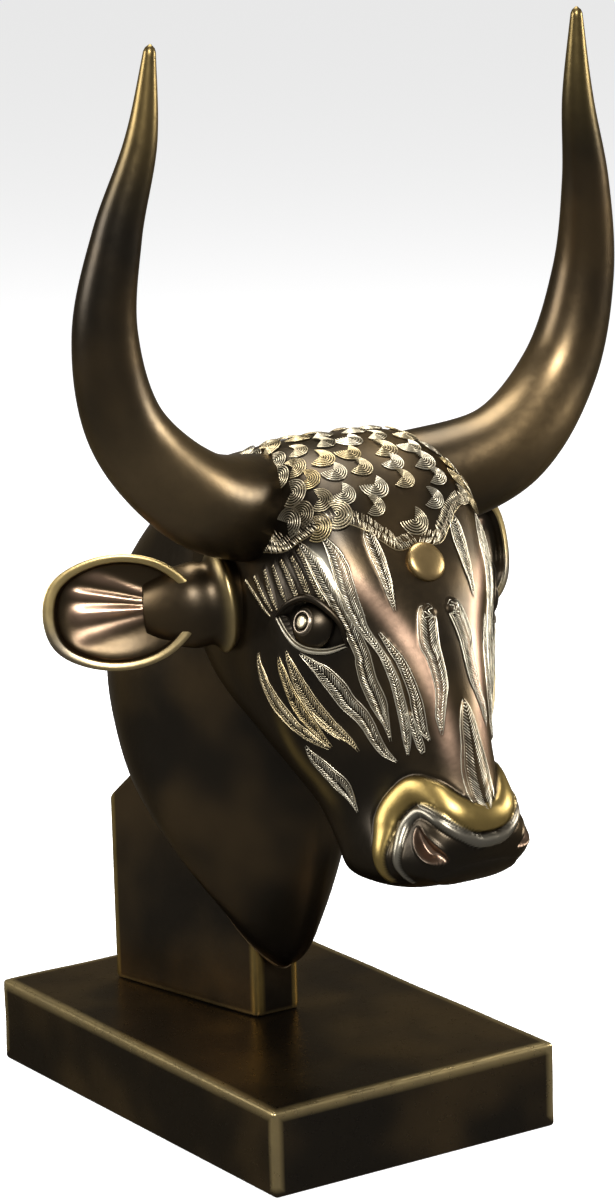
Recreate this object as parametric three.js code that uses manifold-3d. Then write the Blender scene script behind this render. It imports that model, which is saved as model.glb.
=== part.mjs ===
// Table-top bust of a bull: head, long lyre horns, ears and neck cast in one with the wedge
// that carries it, standing on a separate flat plinth. Millimetres, +Z up, the muzzle faces -Y.
// The origin is the middle of the plinth's underside.
import * as THREE from 'three';
import { mergeVertices } from 'three/addons/utils/BufferGeometryUtils.js';
import Module from 'manifold-3d';

const wasm = await Module();
wasm.setup();

// Driving dimensions
const PLINTH = { width: 105.8, depth: 165, height: 27.7, edge: 1.3, corner: 1.2 };
const GAP = 0.3;
const FOOT = PLINTH.height + GAP;

// Wedge block under the neck: half widths at its back and front, the bow of its sides, its cut
// corners, and its sloping top
const BLOCK = {
  back: 60.8,
  front: -5,
  backHalf: 21.8,
  frontHalf: 8,
  bow: 1.2,
  corner: 1.5,
  backTop: 90,
  slopeEnd: 38,
  top: 110,
};

// Sections of the head from behind the poll to the lips. Each starts with its top and its underside,
// [y, z] on the middle plane. Four flank points follow, at the face's edge, the brow, the cheek and
// the jaw, each [half width, share of the way from top to underside].
const HEAD = [
  [[-10, 214], [16, 178], [17, 0.04], [25, 0.22], [28, 0.5], [20, 0.85]],
  [[-50, 223], [4, 157], [22, 0.03], [29, 0.16], [32, 0.43], [26, 0.88]],
  [[-75, 213], [-14, 141], [25, 0.03], [32, 0.14], [36, 0.4], [29, 0.9]],
  [[-91, 194], [-34, 128], [22.5, 0.04], [34, 0.22], [37.5, 0.45], [27, 0.9]],
  [[-101.5, 176], [-48, 117], [15.5, 0.06], [28, 0.27], [35, 0.52], [23, 0.9]],
  [[-109, 158], [-59, 108], [11.5, 0.06], [21, 0.29], [29, 0.54], [20, 0.9]],
  [[-114, 143], [-66, 98.5], [10, 0.08], [16.5, 0.3], [24, 0.56], [19, 0.9]],
  [[-117.5, 131], [-73, 93.5], [10, 0.08], [16.5, 0.27], [24, 0.55], [20, 0.9]],
  [[-121.5, 121], [-87, 93], [12, 0.08], [19.5, 0.28], [24.2, 0.55], [19, 0.9]],
  [[-123, 113], [-102, 95], [12, 0.1], [18.5, 0.3], [20.5, 0.55], [16, 0.9]],
  [[-119.5, 105.5], [-112, 98], [10, 0.12], [14, 0.35], [14.5, 0.6], [11, 0.9]],
];
const HEAD_MESH = { around: 3, along: 2 };

// Sections of the neck from its slanting lower edge, which hangs as a pointed bib over the block,
// up to the back of the skull: the nape and the throat on the middle plane, then four flank points
const NECK = [
  [[26, 104], [-9.5, 44.5], [14, 0.03], [21, 0.2], [19, 0.5], [9, 0.88]],
  [[37, 108], [-17, 49], [16, 0.03], [25, 0.2], [24, 0.5], [10, 0.9]],
  [[50, 118], [-24.5, 60], [18, 0.03], [29, 0.2], [29, 0.5], [10, 0.92]],
  [[59, 132], [-32, 76], [20, 0.04], [31, 0.22], [33, 0.5], [11, 0.93]],
  [[61, 148], [-39, 95], [20, 0.04], [32, 0.22], [34, 0.5], [12, 0.93]],
  [[55, 166], [-42, 114], [20, 0.04], [31, 0.22], [34, 0.5], [14, 0.92]],
  [[38, 186], [-42, 138], [19, 0.04], [29, 0.22], [32, 0.5], [16, 0.92]],
  [[12, 204], [-42, 160], [18, 0.04], [27, 0.22], [30, 0.5], [15, 0.92]],
  [[-18, 215], [-45, 180], [16, 0.04], [25, 0.22], [27, 0.5], [12, 0.92]],
];
const NECK_MESH = { around: 2, along: 1 };

// Centre line of the left-hand horn from inside the skull to its tip, with the radius there
const HORN = [
  { at: [14, -44, 203.5], radius: 16 },
  { at: [26.4, -45, 204.2], radius: 16.5 },
  { at: [56.5, -54.8, 213.3], radius: 14.5 },
  { at: [78.6, -54.9, 235.6], radius: 12 },
  { at: [86.6, -57.4, 265.1], radius: 9.7 },
  { at: [84.3, -62.3, 294.3], radius: 7.3 },
  { at: [78.1, -67.1, 321.4], radius: 4.8 },
  { at: [75.7, -70.2, 349.2], radius: 1.6 },
];
const HORN_MESH = { sides: 10, steps: 16 };

// Left-hand ear: the corner where its rims meet, its tip, the way its hollow faces, and its stalk
const EAR = {
  corner: [47, -42, 176.5],
  tip: [87, -15, 173.5],
  faces: [0.6, -0.78, 0.16],
  halfHeight: 18.5,
  depth: 13,
  rim: 2.6,
  stalkRoot: [30, -38, 176],
  stalkHalf: 14.5,
};
const EAR_MESH = { around: 16, stalk: 8 };

// Places on the face are [across, down]: 0 to 0.5 from the middle of the brow round to the throat,
// and 0 to 1 from behind the poll to the lips
const DISC = { at: [0, 0.31], radius: 7.6, height: 3 };
const EYE = {
  at: [0.204, 0.325],
  radius: 8,
  sunk: 5.2,
  upperLid: [[0.262, 0.275], [0.221, 0.279], [0.179, 0.296], [0.158, 0.342], [0.167, 0.375]],
  lowerLid: [[0.262, 0.275], [0.238, 0.329], [0.2, 0.362], [0.167, 0.375]],
  lid: [1.3, 1.2],
};

// The rolled band over the muzzle, the fold inside it and the nostril
const MUZZLE_BAND = {
  path: [
    [0.35, 0.85], [0.27, 0.735], [0.232, 0.668], [0.187, 0.652], [0.135, 0.695], [0.085, 0.755], [0.03, 0.81],
  ],
  half: 4.2,
  high: 2,
  lift: 0.7,
  steps: 22,
};
const MUZZLE_FOLD = {
  path: [
    [0.345, 0.92], [0.245, 0.79], [0.21, 0.725], [0.175, 0.718], [0.123, 0.775], [0.075, 0.845], [0.025, 0.9],
  ],
  half: 1.7,
  high: 1.3,
  lift: 0.5,
  steps: 17,
};
const NOSTRIL = { path: [[0.185, 0.76], [0.175, 0.86], [0.125, 0.95]], half: 2.8, deep: 3.4 };

// Raised locks of hair on each half of the face, and the broad one down the nose
const LOCKS = [
  { path: [[0.03, 0.375], [0.055, 0.41], [0.045, 0.46], [0.06, 0.52], [0.08, 0.58]], half: 2.6 },
  { path: [[0.055, 0.255], [0.062, 0.31], [0.075, 0.375]], half: 2.2 },
  { path: [[0.117, 0.246], [0.1, 0.3], [0.115, 0.36], [0.13, 0.44]], half: 3 },
  { path: [[0.146, 0.265], [0.14, 0.33], [0.158, 0.4], [0.167, 0.45]], half: 2.4 },
  { path: [[0.121, 0.39], [0.1, 0.47], [0.108, 0.58]], half: 2.6 },
  { path: [[0.125, 0.44], [0.14, 0.51], [0.155, 0.58]], half: 2.2 },
  { path: [[0.15, 0.4], [0.164, 0.45], [0.158, 0.51]], half: 2.4 },
  { path: [[0.225, 0.35], [0.19, 0.4], [0.19, 0.5], [0.175, 0.575]], half: 2.6 },
  { path: [[0.262, 0.33], [0.228, 0.42], [0.225, 0.512]], half: 2.6 },
  { path: [[0.29, 0.33], [0.256, 0.417], [0.242, 0.475]], half: 2.4 },
  { path: [[0.335, 0.27], [0.34, 0.34], [0.3, 0.43], [0.267, 0.475]], half: 2.8 },
  { path: [[0.317, 0.44], [0.3, 0.5], [0.3, 0.62]], half: 2.4 },
];
const LOCK_HIGH = 1;
const NOSE_LOCK = { path: [[0, 0.53], [0, 0.6], [0, 0.69], [0, 0.76]], half: 4.2 };

// Curls over the poll: rows of low knobs, each row wider apart towards the horns
const CURLS = {
  rows: [0.09, 0.125, 0.16, 0.195, 0.235],
  perSide: [3, 4, 4, 3, 1],
  spread: 0.042,
  radius: 4.2,
  high: 1.2,
};

// A point given as a list of its three coordinates
function vec([x, y, z]) {
  return new THREE.Vector3(x, y, z);
}

// A closed mesh from rings of points: walls between the rings and a fan over each end
function closedMesh(rings) {
  const count = rings[0].length;
  const points = rings.flat();
  const index = [];
  for (let ring = 0; ring + 1 < rings.length; ring++) {
    for (let k = 0; k < count; k++) {
      const a = ring * count + k;
      const b = ring * count + ((k + 1) % count);
      index.push(a, b, a + count, b, b + count, a + count);
    }
  }
  for (const [ring, turn] of [[0, 1], [rings.length - 1, -1]]) {
    const middle = points.length;
    const centre = new THREE.Vector3();
    rings[ring].forEach((p) => centre.add(p));
    points.push(centre.divideScalar(count));
    for (let k = 0; k < count; k++) {
      const a = ring * count + k;
      const b = ring * count + ((k + 1) % count);
      index.push(...(turn > 0 ? [middle, b, a] : [middle, a, b]));
    }
  }
  const geometry = new THREE.BufferGeometry().setFromPoints(points);
  geometry.setIndex(index);
  return geometry;
}

// A solid for joining and cutting, turned so that its faces point out
function solid(geometry) {
  const bare = geometry.clone();
  bare.deleteAttribute('normal');
  bare.deleteAttribute('uv');
  const merged = mergeVertices(bare, 1e-4);
  const place = merged.attributes.position;
  const corners = merged.index.array;
  const [a, b, c] = [new THREE.Vector3(), new THREE.Vector3(), new THREE.Vector3()];
  const kept = [];
  let volume = 0;
  for (let i = 0; i < corners.length; i += 3) {
    const [i0, i1, i2] = [corners[i], corners[i + 1], corners[i + 2]];
    if (i0 === i1 || i1 === i2 || i2 === i0) continue;
    kept.push(i0, i1, i2);
    a.fromBufferAttribute(place, i0);
    b.fromBufferAttribute(place, i1);
    c.fromBufferAttribute(place, i2);
    volume += a.dot(b.cross(c));
  }
  if (volume < 0) kept.reverse();
  const mesh = new wasm.Mesh({
    numProp: 3,
    vertProperties: new Float32Array(place.array),
    triVerts: new Uint32Array(kept),
  });
  return new wasm.Manifold(mesh);
}

function toGeometry(body) {
  const mesh = body.getMesh();
  const geometry = new THREE.BufferGeometry();
  geometry.setAttribute('position', new THREE.BufferAttribute(new Float32Array(mesh.vertProperties), 3));
  geometry.setIndex(new THREE.BufferAttribute(new Uint32Array(mesh.triVerts), 1));
  geometry.computeVertexNormals();
  return geometry;
}

// The closed outline of one section: from one middle-plane point over the right side to the other
// and back over the left side
function sectionCurve([first, last, ...flanks]) {
  const from = vec([0, ...first]);
  const to = vec([0, ...last]);
  const side = (turn) => flanks.map(([half, share]) => from.clone().lerp(to, share).setX(turn * half));
  return new THREE.CatmullRomCurve3([from, ...side(1), to, ...side(-1).reverse()], true, 'centripetal');
}

// A skin over sections: u runs round a section and v from the first section to the last
class Skin {
  constructor(sections) {
    this.curves = sections.map(sectionCurve);
    this.corners = 2 * (sections[0].length - 1);
  }

  at(u, v) {
    const line = this.curves.map((curve) => curve.getPoint(((u % 1) + 1) % 1));
    return new THREE.CatmullRomCurve3(line, false, 'centripetal').getPoint(v);
  }

  rings({ around, along }) {
    const count = this.corners * around;
    const steps = (this.curves.length - 1) * along;
    const columns = [];
    for (let k = 0; k < count; k++) {
      const line = this.curves.map((curve) => curve.getPoint(k / count));
      const curve = new THREE.CatmullRomCurve3(line, false, 'centripetal');
      columns.push(curve.getPoints(steps));
    }
    return Array.from({ length: steps + 1 }, (_, step) => columns.map((column) => column[step]));
  }
}

// A place of the face lifted off the skin, with the way out. A negative across is the other half.
function onFace([across, down], lift = 0) {
  const step = 0.004;
  const point = headSkin.at(across, down);
  const round = headSkin.at(across + step, down).sub(headSkin.at(across - step, down));
  const forward = headSkin.at(across, down + step).sub(headSkin.at(across, down - step));
  const out = new THREE.Vector3().crossVectors(forward, round).normalize();
  return { point: point.addScaledVector(out, lift), out };
}

const headSkin = new Skin(HEAD);
const neckSkin = new Skin(NECK);

// Rings swept through spots, each spot a point and a way out. A ring is an ellipse of the half
// width and half height that size gives for its share of the way.
function sweep(spots, sides, size) {
  const last = spots.length - 1;
  return spots.map(({ point, out }, step) => {
    const ahead = spots[Math.min(step + 1, last)].point.clone().sub(spots[Math.max(step - 1, 0)].point);
    const across = new THREE.Vector3().crossVectors(ahead, out).normalize();
    const up = new THREE.Vector3().crossVectors(across, ahead).normalize();
    const [half, high] = size(step / last);
    return Array.from({ length: sides }, (_, k) => {
      const angle = (2 * Math.PI * k) / sides;
      const corner = across.clone().multiplyScalar(half * Math.cos(angle));
      return corner.addScaledVector(up, high * Math.sin(angle)).add(point);
    });
  });
}

// A strip that follows the skin smoothly through places on the face
function strip(places, steps, sides, size, lift = 0) {
  const corners = places.map(([across, down]) => vec([across, down, 0]));
  const line = new THREE.CatmullRomCurve3(corners, false, 'centripetal');
  const spots = line.getPoints(steps).map(({ x, y }) => onFace([x, y], lift));
  return solid(closedMesh(sweep(spots, sides, size)));
}

function mirrored(path, side) {
  return path.map(([across, down]) => [side * across, down]);
}

// Full in the middle and pointed at both ends
function taper(t) {
  return 0.15 + 0.85 * Math.sin(Math.PI * Math.min(Math.max(t, 0), 1) ** 0.8);
}

function lockSolid(side, { path, half }) {
  const size = (t) => [half * taper(t), LOCK_HIGH * (0.4 + 0.6 * taper(t))];
  return strip(mirrored(path, side), path.length, 4, size);
}

// A strip from one side of the muzzle over the middle to the other
function muzzleStrip({ path, half, high, lift, steps }) {
  const fade = (t) => Math.min(1, 0.35 + 4 * Math.min(t, 1 - t));
  const places = [...mirrored(path, -1), ...mirrored(path, 1).reverse()];
  return strip(places, steps, 4, (t) => [half * fade(t), high * fade(t)], lift);
}

// A flattened ball lying on the face
function knobSolid(place, radius, high, segments) {
  const { point, out } = onFace(place);
  const knob = new THREE.SphereGeometry(radius, segments, Math.ceil(segments / 2));
  knob.scale(1, high / radius, 1);
  knob.applyQuaternion(new THREE.Quaternion().setFromUnitVectors(new THREE.Vector3(0, 1, 0), out));
  knob.translate(point.x, point.y, point.z);
  return solid(knob);
}

function eyeSolids(side) {
  const [place] = mirrored([EYE.at], side);
  const { point } = onFace(place, -EYE.sunk);
  const ball = new THREE.SphereGeometry(EYE.radius, 12, 6).translate(point.x, point.y, point.z);
  const [half, high] = EYE.lid;
  const size = (t) => [half * taper(t), high * taper(t)];
  const lid = (path) => strip(mirrored(path, side), 5, 4, size, 0.6);
  return [solid(ball), lid(EYE.upperLid), lid(EYE.lowerLid)];
}

function curlSolids(side) {
  return CURLS.rows.flatMap((down, row) => Array.from({ length: CURLS.perSide[row] }, (_, k) => {
    const across = CURLS.spread * (k + (row % 2 ? 0.5 : 1));
    return knobSolid([side * across, down], CURLS.radius, CURLS.high, 5);
  }));
}

function hornSolid(side) {
  const line = HORN.map(({ at: [x, y, z] }) => vec([side * x, y, z]));
  const curve = new THREE.CatmullRomCurve3(line, false, 'centripetal');
  const radii = HORN.map(({ radius }) => vec([radius, 0, 0]));
  const thickness = new THREE.CatmullRomCurve3(radii, false, 'centripetal');
  const radius = (t) => thickness.getPoint(t).x;
  const spots = curve.getPoints(HORN_MESH.steps).map((point) => ({ point, out: vec([0, -1, 0]) }));
  return solid(closedMesh(sweep(spots, HORN_MESH.sides, (t) => [radius(t), radius(t)])));
}

// The ear is a leaf-shaped cup: rings of its outline shrink over the back, pass over the rim and
// shrink again down the hollow
function earSolid(side) {
  const mirror = ([x, y, z]) => vec([side * x, y, z]);
  const corner = mirror(EAR.corner);
  const along = mirror(EAR.tip).sub(corner);
  const length = along.length();
  along.normalize();
  const faces = mirror(EAR.faces);
  faces.addScaledVector(along, -faces.dot(along)).normalize();
  const up = new THREE.Vector3().crossVectors(along, faces).multiplyScalar(side).normalize();
  const outline = (angle) => {
    const reach = (1 - Math.cos(angle)) / 2;
    const swell = Math.sin(angle) * (0.9 + 0.1 * reach) * (1 - 0.25 * Math.cos(angle) ** 5);
    return [length * reach, EAR.halfHeight * swell];
  };
  const ring = (share, deep, towardsCorner) => Array.from({ length: EAR_MESH.around }, (_, k) => {
    const [reach, height] = outline((2 * Math.PI * k) / EAR_MESH.around);
    const centre = length * (0.5 - 0.22 * towardsCorner);
    return corner.clone()
      .addScaledVector(along, centre + (reach - centre) * share)
      .addScaledVector(up, height * share)
      .addScaledVector(faces, -deep);
  });
  const { depth, rim } = EAR;
  const rings = [
    ring(0.35, depth, 0.6), ring(0.65, 0.86 * depth, 0.5), ring(0.88, 0.5 * depth, 0.3), ring(1, 0.8, 0),
    ring(0.975, -0.3, 0), ring(0.9, 0.2, 0), ring(0.84, 1.8, 0.1), ring(0.7, 0.55 * (depth - rim), 0.3),
    ring(0.4, depth - rim, 0.6),
  ];
  const cup = solid(closedMesh(rings));
  const root = mirror(EAR.stalkRoot);
  const end = corner.clone().addScaledVector(along, 0.36 * length).addScaledVector(faces, -0.75 * depth);
  const line = new THREE.CatmullRomCurve3([root, corner.clone().addScaledVector(faces, -0.6 * depth), end]);
  const half = (t) => EAR.stalkHalf * (1 - 0.4 * t ** 3);
  const spots = line.getPoints(4).map((point) => ({ point, out: up }));
  const stalk = solid(closedMesh(sweep(spots, EAR_MESH.stalk, (t) => [half(t) * 0.75, half(t)])));
  const hollow = solid(closedMesh([ring(0.97, -6, 0), ring(0.9, 0.2, 0), ...rings.slice(6)]));
  return cup.add(stalk).subtract(hollow);
}

function headSolid() {
  return solid(closedMesh(headSkin.rings(HEAD_MESH)));
}

function neckSolid() {
  return solid(closedMesh(neckSkin.rings(NECK_MESH)));
}

// The wedge: its plan pulled up, cut by its side view
function blockSolid() {
  const { back, front, backHalf, frontHalf, bow, corner, backTop, slopeEnd, top } = BLOCK;
  const reach = 10;
  const middle = (back + front) / 2;
  const middleHalf = (backHalf + frontHalf) / 2 + bow;
  const plan = new THREE.Shape();
  plan.moveTo(-backHalf, back);
  plan.quadraticCurveTo(-middleHalf, middle, -frontHalf, front + corner);
  plan.lineTo(-frontHalf + corner, front);
  plan.lineTo(frontHalf - corner, front);
  plan.lineTo(frontHalf, front + corner);
  plan.quadraticCurveTo(middleHalf, middle, backHalf, back);
  const height = top + reach - FOOT;
  const prism = new THREE.ExtrudeGeometry(plan, { depth: height, bevelEnabled: false, curveSegments: 6 });
  prism.translate(0, 0, FOOT);
  const profile = new THREE.Shape();
  profile.moveTo(front - reach, FOOT);
  profile.lineTo(back + reach, FOOT);
  profile.lineTo(back + reach, backTop - reach);
  profile.lineTo(back, backTop);
  profile.lineTo(slopeEnd, top);
  profile.lineTo(front - reach, FOOT + reach);
  const cut = new THREE.ExtrudeGeometry(profile, { depth: 4 * backHalf, bevelEnabled: false });
  cut.rotateX(Math.PI / 2);
  cut.rotateZ(Math.PI / 2);
  cut.translate(-2 * backHalf, 0, 0);
  return solid(prism).intersect(solid(cut));
}

function bustGeometry() {
  let body = headSolid().add(neckSolid()).add(blockSolid());
  body = body.add(muzzleStrip(MUZZLE_BAND)).add(muzzleStrip(MUZZLE_FOLD));
  for (const side of [-1, 1]) {
    const { path, half, deep } = NOSTRIL;
    const nostril = strip(mirrored(path, side), 6, 6, (t) => [half * taper(t), deep * taper(t)]);
    body = body.subtract(nostril).add(hornSolid(side)).add(earSolid(side));
    for (const piece of [...eyeSolids(side), ...curlSolids(side)]) body = body.add(piece);
    for (const lock of LOCKS) body = body.add(lockSolid(side, lock));
  }
  body = body.add(strip(NOSE_LOCK.path, 6, 6, (t) => [NOSE_LOCK.half * (0.2 + 0.8 * t), LOCK_HIGH]));
  body = body.add(knobSolid(DISC.at, DISC.radius, DISC.height, 12));
  return toGeometry(body);
}

function plinthGeometry() {
  const { width, depth, height, edge, corner } = PLINTH;
  const [x, y] = [width / 2 - edge, depth / 2 - edge];
  const outline = new THREE.Shape();
  outline.moveTo(-x + corner, -y);
  outline.lineTo(x - corner, -y);
  outline.quadraticCurveTo(x, -y, x, -y + corner);
  outline.lineTo(x, y - corner);
  outline.quadraticCurveTo(x, y, x - corner, y);
  outline.lineTo(-x + corner, y);
  outline.quadraticCurveTo(-x, y, -x, y - corner);
  outline.lineTo(-x, -y + corner);
  outline.quadraticCurveTo(-x, -y, -x + corner, -y);
  const geometry = new THREE.ExtrudeGeometry(outline, {
    depth: height - 2 * edge,
    bevelEnabled: true,
    bevelSize: edge,
    bevelThickness: edge,
    bevelSegments: 3,
    curveSegments: 3,
  });
  geometry.translate(0, 0, edge);
  return toGeometry(solid(geometry));
}

const bronze = new THREE.MeshStandardMaterial({ color: 0x2e2416, roughness: 0.38, metalness: 0.6 });
bronze.name = 'bronze_finish';
const darkBronze = new THREE.MeshStandardMaterial({ color: 0x1c1913, roughness: 0.45, metalness: 0.4 });
darkBronze.name = 'dark_base';

const part = new THREE.Group();
const plinth = new THREE.Mesh(plinthGeometry(), darkBronze);
plinth.name = 'plinth';
const bust = new THREE.Mesh(bustGeometry(), bronze);
bust.name = 'bull_bust';
part.add(plinth, bust);

export default part;
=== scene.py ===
"""Table-top bust of a bull in a dark gilt bronze finish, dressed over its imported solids.

Lengths are millimetres until a mesh is made. +Z is up, the muzzle faces -Y and the bull's left is
+X. The head is one skin over cross sections, and its bands, hollows and locks are lifted from it
where they lie. The engraved hair is laid on that skin as fine raised marks.
"""

import logging
import math
from dataclasses import dataclass, field
from enum import Enum

import bpy
import numpy as np
from mathutils import Matrix, Vector
from mathutils.bvhtree import BVHTree


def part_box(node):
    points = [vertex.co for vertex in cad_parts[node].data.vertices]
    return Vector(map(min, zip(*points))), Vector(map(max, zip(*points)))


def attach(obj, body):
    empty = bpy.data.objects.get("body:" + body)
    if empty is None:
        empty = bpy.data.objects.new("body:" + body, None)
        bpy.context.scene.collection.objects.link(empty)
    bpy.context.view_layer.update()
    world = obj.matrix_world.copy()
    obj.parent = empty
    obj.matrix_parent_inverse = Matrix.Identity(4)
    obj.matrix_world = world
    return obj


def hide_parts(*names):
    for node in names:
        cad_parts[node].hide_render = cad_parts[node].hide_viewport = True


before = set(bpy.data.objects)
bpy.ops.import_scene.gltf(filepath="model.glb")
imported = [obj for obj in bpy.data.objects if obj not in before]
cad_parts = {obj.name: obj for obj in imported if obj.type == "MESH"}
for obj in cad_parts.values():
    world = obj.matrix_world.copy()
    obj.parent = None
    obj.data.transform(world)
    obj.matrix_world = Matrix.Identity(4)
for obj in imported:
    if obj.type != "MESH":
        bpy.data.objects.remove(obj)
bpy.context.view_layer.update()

MM = 0.001
log = logging.getLogger("bull_bust")


class Side(Enum):
    """A half of the animal, as the sign of its X."""

    LEFT = 1
    RIGHT = -1


class Relief(Enum):
    """How a raised strip stands out of the skin."""

    ROLL = "roll"
    BLADE = "blade"
    HOLLOW = "hollow"


# Curves and skins


def catmull_rom(points: np.ndarray, params: np.ndarray, closed: bool = False) -> np.ndarray:
    """Samples a centripetal Catmull-Rom curve.

    Args:
        points: control points, shape (n, ..., 3). Further axes hold curves side by side.
        params: shares of the way from 0 to 1.
        closed: joins the last point to the first.

    Returns:
        The points at params, shape (len(params), ..., 3).
    """
    points = np.asarray(points, float)
    count = len(points)
    position = np.asarray(params, float) * (count if closed else count - 1)
    span = np.floor(position).astype(int)
    if not closed:
        span = np.clip(span, 0, count - 2)
    weight = (position - span).reshape(-1, *([1] * (points.ndim - 1)))
    if closed:
        a, b, c, d = (points[(span + k) % count] for k in (-1, 0, 1, 2))
    else:
        padded = np.concatenate([[2 * points[0] - points[1]], points, [2 * points[-1] - points[-2]]])
        a, b, c, d = (padded[span + k] for k in (0, 1, 2, 3))
    gap = [np.sqrt(np.linalg.norm(q - p, axis=-1, keepdims=True)) for p, q in ((a, b), (b, c), (c, d))]
    middle = np.where(gap[1] < 1e-4, 1.0, gap[1])
    first = np.where(gap[0] < 1e-4, middle, gap[0])
    last = np.where(gap[2] < 1e-4, middle, gap[2])
    start = ((b - a) / first - (c - a) / (first + middle) + (c - b) / middle) * middle
    end = ((c - b) / middle - (d - b) / (middle + last) + (d - c) / last) * middle
    cubic = 2 * b - 2 * c + start + end
    square = -3 * b + 3 * c - 2 * start - end
    return b + start * weight + square * weight**2 + cubic * weight**3


def unit(vectors: np.ndarray) -> np.ndarray:
    """The vectors at length one."""
    return vectors / np.maximum(np.linalg.norm(vectors, axis=-1, keepdims=True), 1e-9)


def smooth_step(values: np.ndarray, low: float, high: float) -> np.ndarray:
    """Rises smoothly from 0 at low to 1 at high."""
    share = np.clip((values - low) / (high - low), 0, 1)
    return share * share * (3 - 2 * share)


def even_shares(line: np.ndarray, shares: np.ndarray, spacing: np.ndarray) -> np.ndarray:
    """Picks shares along a line so that steps have the spacing asked for at each place.

    Args:
        line: points of the line, shape (n, 3).
        shares: the share of each point, rising.
        spacing: the step wanted near each point, in millimetres.

    Returns:
        Rising shares from the first to the last.
    """
    steps = np.linalg.norm(np.diff(line, axis=0), axis=1) / ((spacing[1:] + spacing[:-1]) / 2)
    counted = np.concatenate([[0], np.cumsum(steps)])
    return np.interp(np.linspace(0, counted[-1], int(math.ceil(counted[-1])) + 1), counted, shares)


def section_points(section: tuple) -> np.ndarray:
    """The control points round one section: middle plane, left flank, middle plane, right flank."""
    first, last, *flanks = section
    start, end = np.array([0.0, *first]), np.array([0.0, *last])
    side = [start + (end - start) * share + [half, 0, 0] for half, share in flanks]
    mirrored = [point * [-1, 1, 1] for point in reversed(side)]
    return np.array([start, *side, end, *mirrored])


@dataclass
class Skin:
    """A closed skin over cross sections, in places [across, down].

    Attributes:
        sections: two middle-plane points [y, z], then flank points [half width, share].
    """

    sections: tuple

    def surface(self, across: np.ndarray, down: np.ndarray) -> np.ndarray:
        """Points of the skin on a grid, shape (len(down), len(across), 3)."""
        rounds = np.stack([section_points(section) for section in self.sections], axis=1)
        return catmull_rom(catmull_rom(rounds, across % 1, closed=True).swapaxes(0, 1), down)


# Meshes


def make_object(name: str, points: np.ndarray, faces: list, masks: dict | None = None) -> bpy.types.Object:
    """Makes a smooth mesh object from points in millimetres.

    Args:
        name: the object's name.
        points: shape (n, 3).
        faces: lists of point numbers.
        masks: named values between 0 and 1, one for each point, that the finish reads.

    Returns:
        The object, at the origin and linked to the scene.
    """
    mesh = bpy.data.meshes.new(name)
    mesh.from_pydata((np.asarray(points) * MM).tolist(), [], faces)
    for mask, values in (masks or {}).items():
        layer = mesh.attributes.new(mask, "FLOAT", "POINT")
        layer.data.foreach_set("value", np.asarray(values, np.float32).ravel())
    mesh.validate()
    mesh.shade_smooth()
    made = bpy.data.objects.new(name, mesh)
    bpy.context.scene.collection.objects.link(made)
    return made


def ring_faces(rings: int, around: int, flip: bool = False) -> list:
    """Faces of a tube of rings that close on themselves, with a fan point over each end.

    The two fan points are the last two points of the mesh: first ring's, then last ring's.
    """
    ring, step = np.meshgrid(np.arange(rings - 1), np.arange(around), indexing="ij")
    after = (step + 1) % around
    walls = np.stack([ring * around + step, ring * around + after, (ring + 1) * around + after,
                      (ring + 1) * around + step], axis=-1).reshape(-1, 4)
    faces = walls.tolist()
    base = (rings - 1) * around
    for k in range(around):
        faces.append([rings * around, (k + 1) % around, k])
        faces.append([rings * around + 1, base + k, base + (k + 1) % around])
    return [face[::-1] for face in faces] if flip else faces


def tube_object(name: str, rings: np.ndarray, masks: dict | None = None, flip: bool = False) -> bpy.types.Object:
    """A closed object over rings of points, shape (rings, around, 3)."""
    count, around = rings.shape[:2]
    points = np.concatenate([rings.reshape(-1, 3), [rings[0].mean(0)], [rings[-1].mean(0)]])
    filled = {mask: np.concatenate([v.ravel(), [v[0].mean()], [v[-1].mean()]]) for mask, v in (masks or {}).items()}
    return make_object(name, points, ring_faces(count, around, flip), filled)


def sweep(spots: np.ndarray, outs: np.ndarray, size: np.ndarray, around: int) -> np.ndarray:
    """Elliptical rings along spots.

    Args:
        spots: centres, shape (n, 3).
        outs: the way that each ring's height points, shape (n, 3).
        size: half width and half height of each ring, shape (n, 2).
        around: points on a ring.

    Returns:
        Rings, shape (n, around, 3).
    """
    ahead = unit(np.gradient(spots, axis=0))
    across = unit(np.cross(ahead, outs))
    up = unit(np.cross(across, ahead))
    angle = np.linspace(0, 2 * np.pi, around, endpoint=False)
    wide = across[:, None] * size[:, None, :1] * np.cos(angle)[None, :, None]
    high = up[:, None] * size[:, None, 1:] * np.sin(angle)[None, :, None]
    return spots[:, None] + wide + high


def tree_of(target: bpy.types.Object) -> BVHTree:
    """A search tree over an object's mesh, in metres."""
    mesh = target.data
    return BVHTree.FromPolygons([v.co for v in mesh.vertices], [p.vertices[:] for p in mesh.polygons])


# Shader building


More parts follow.
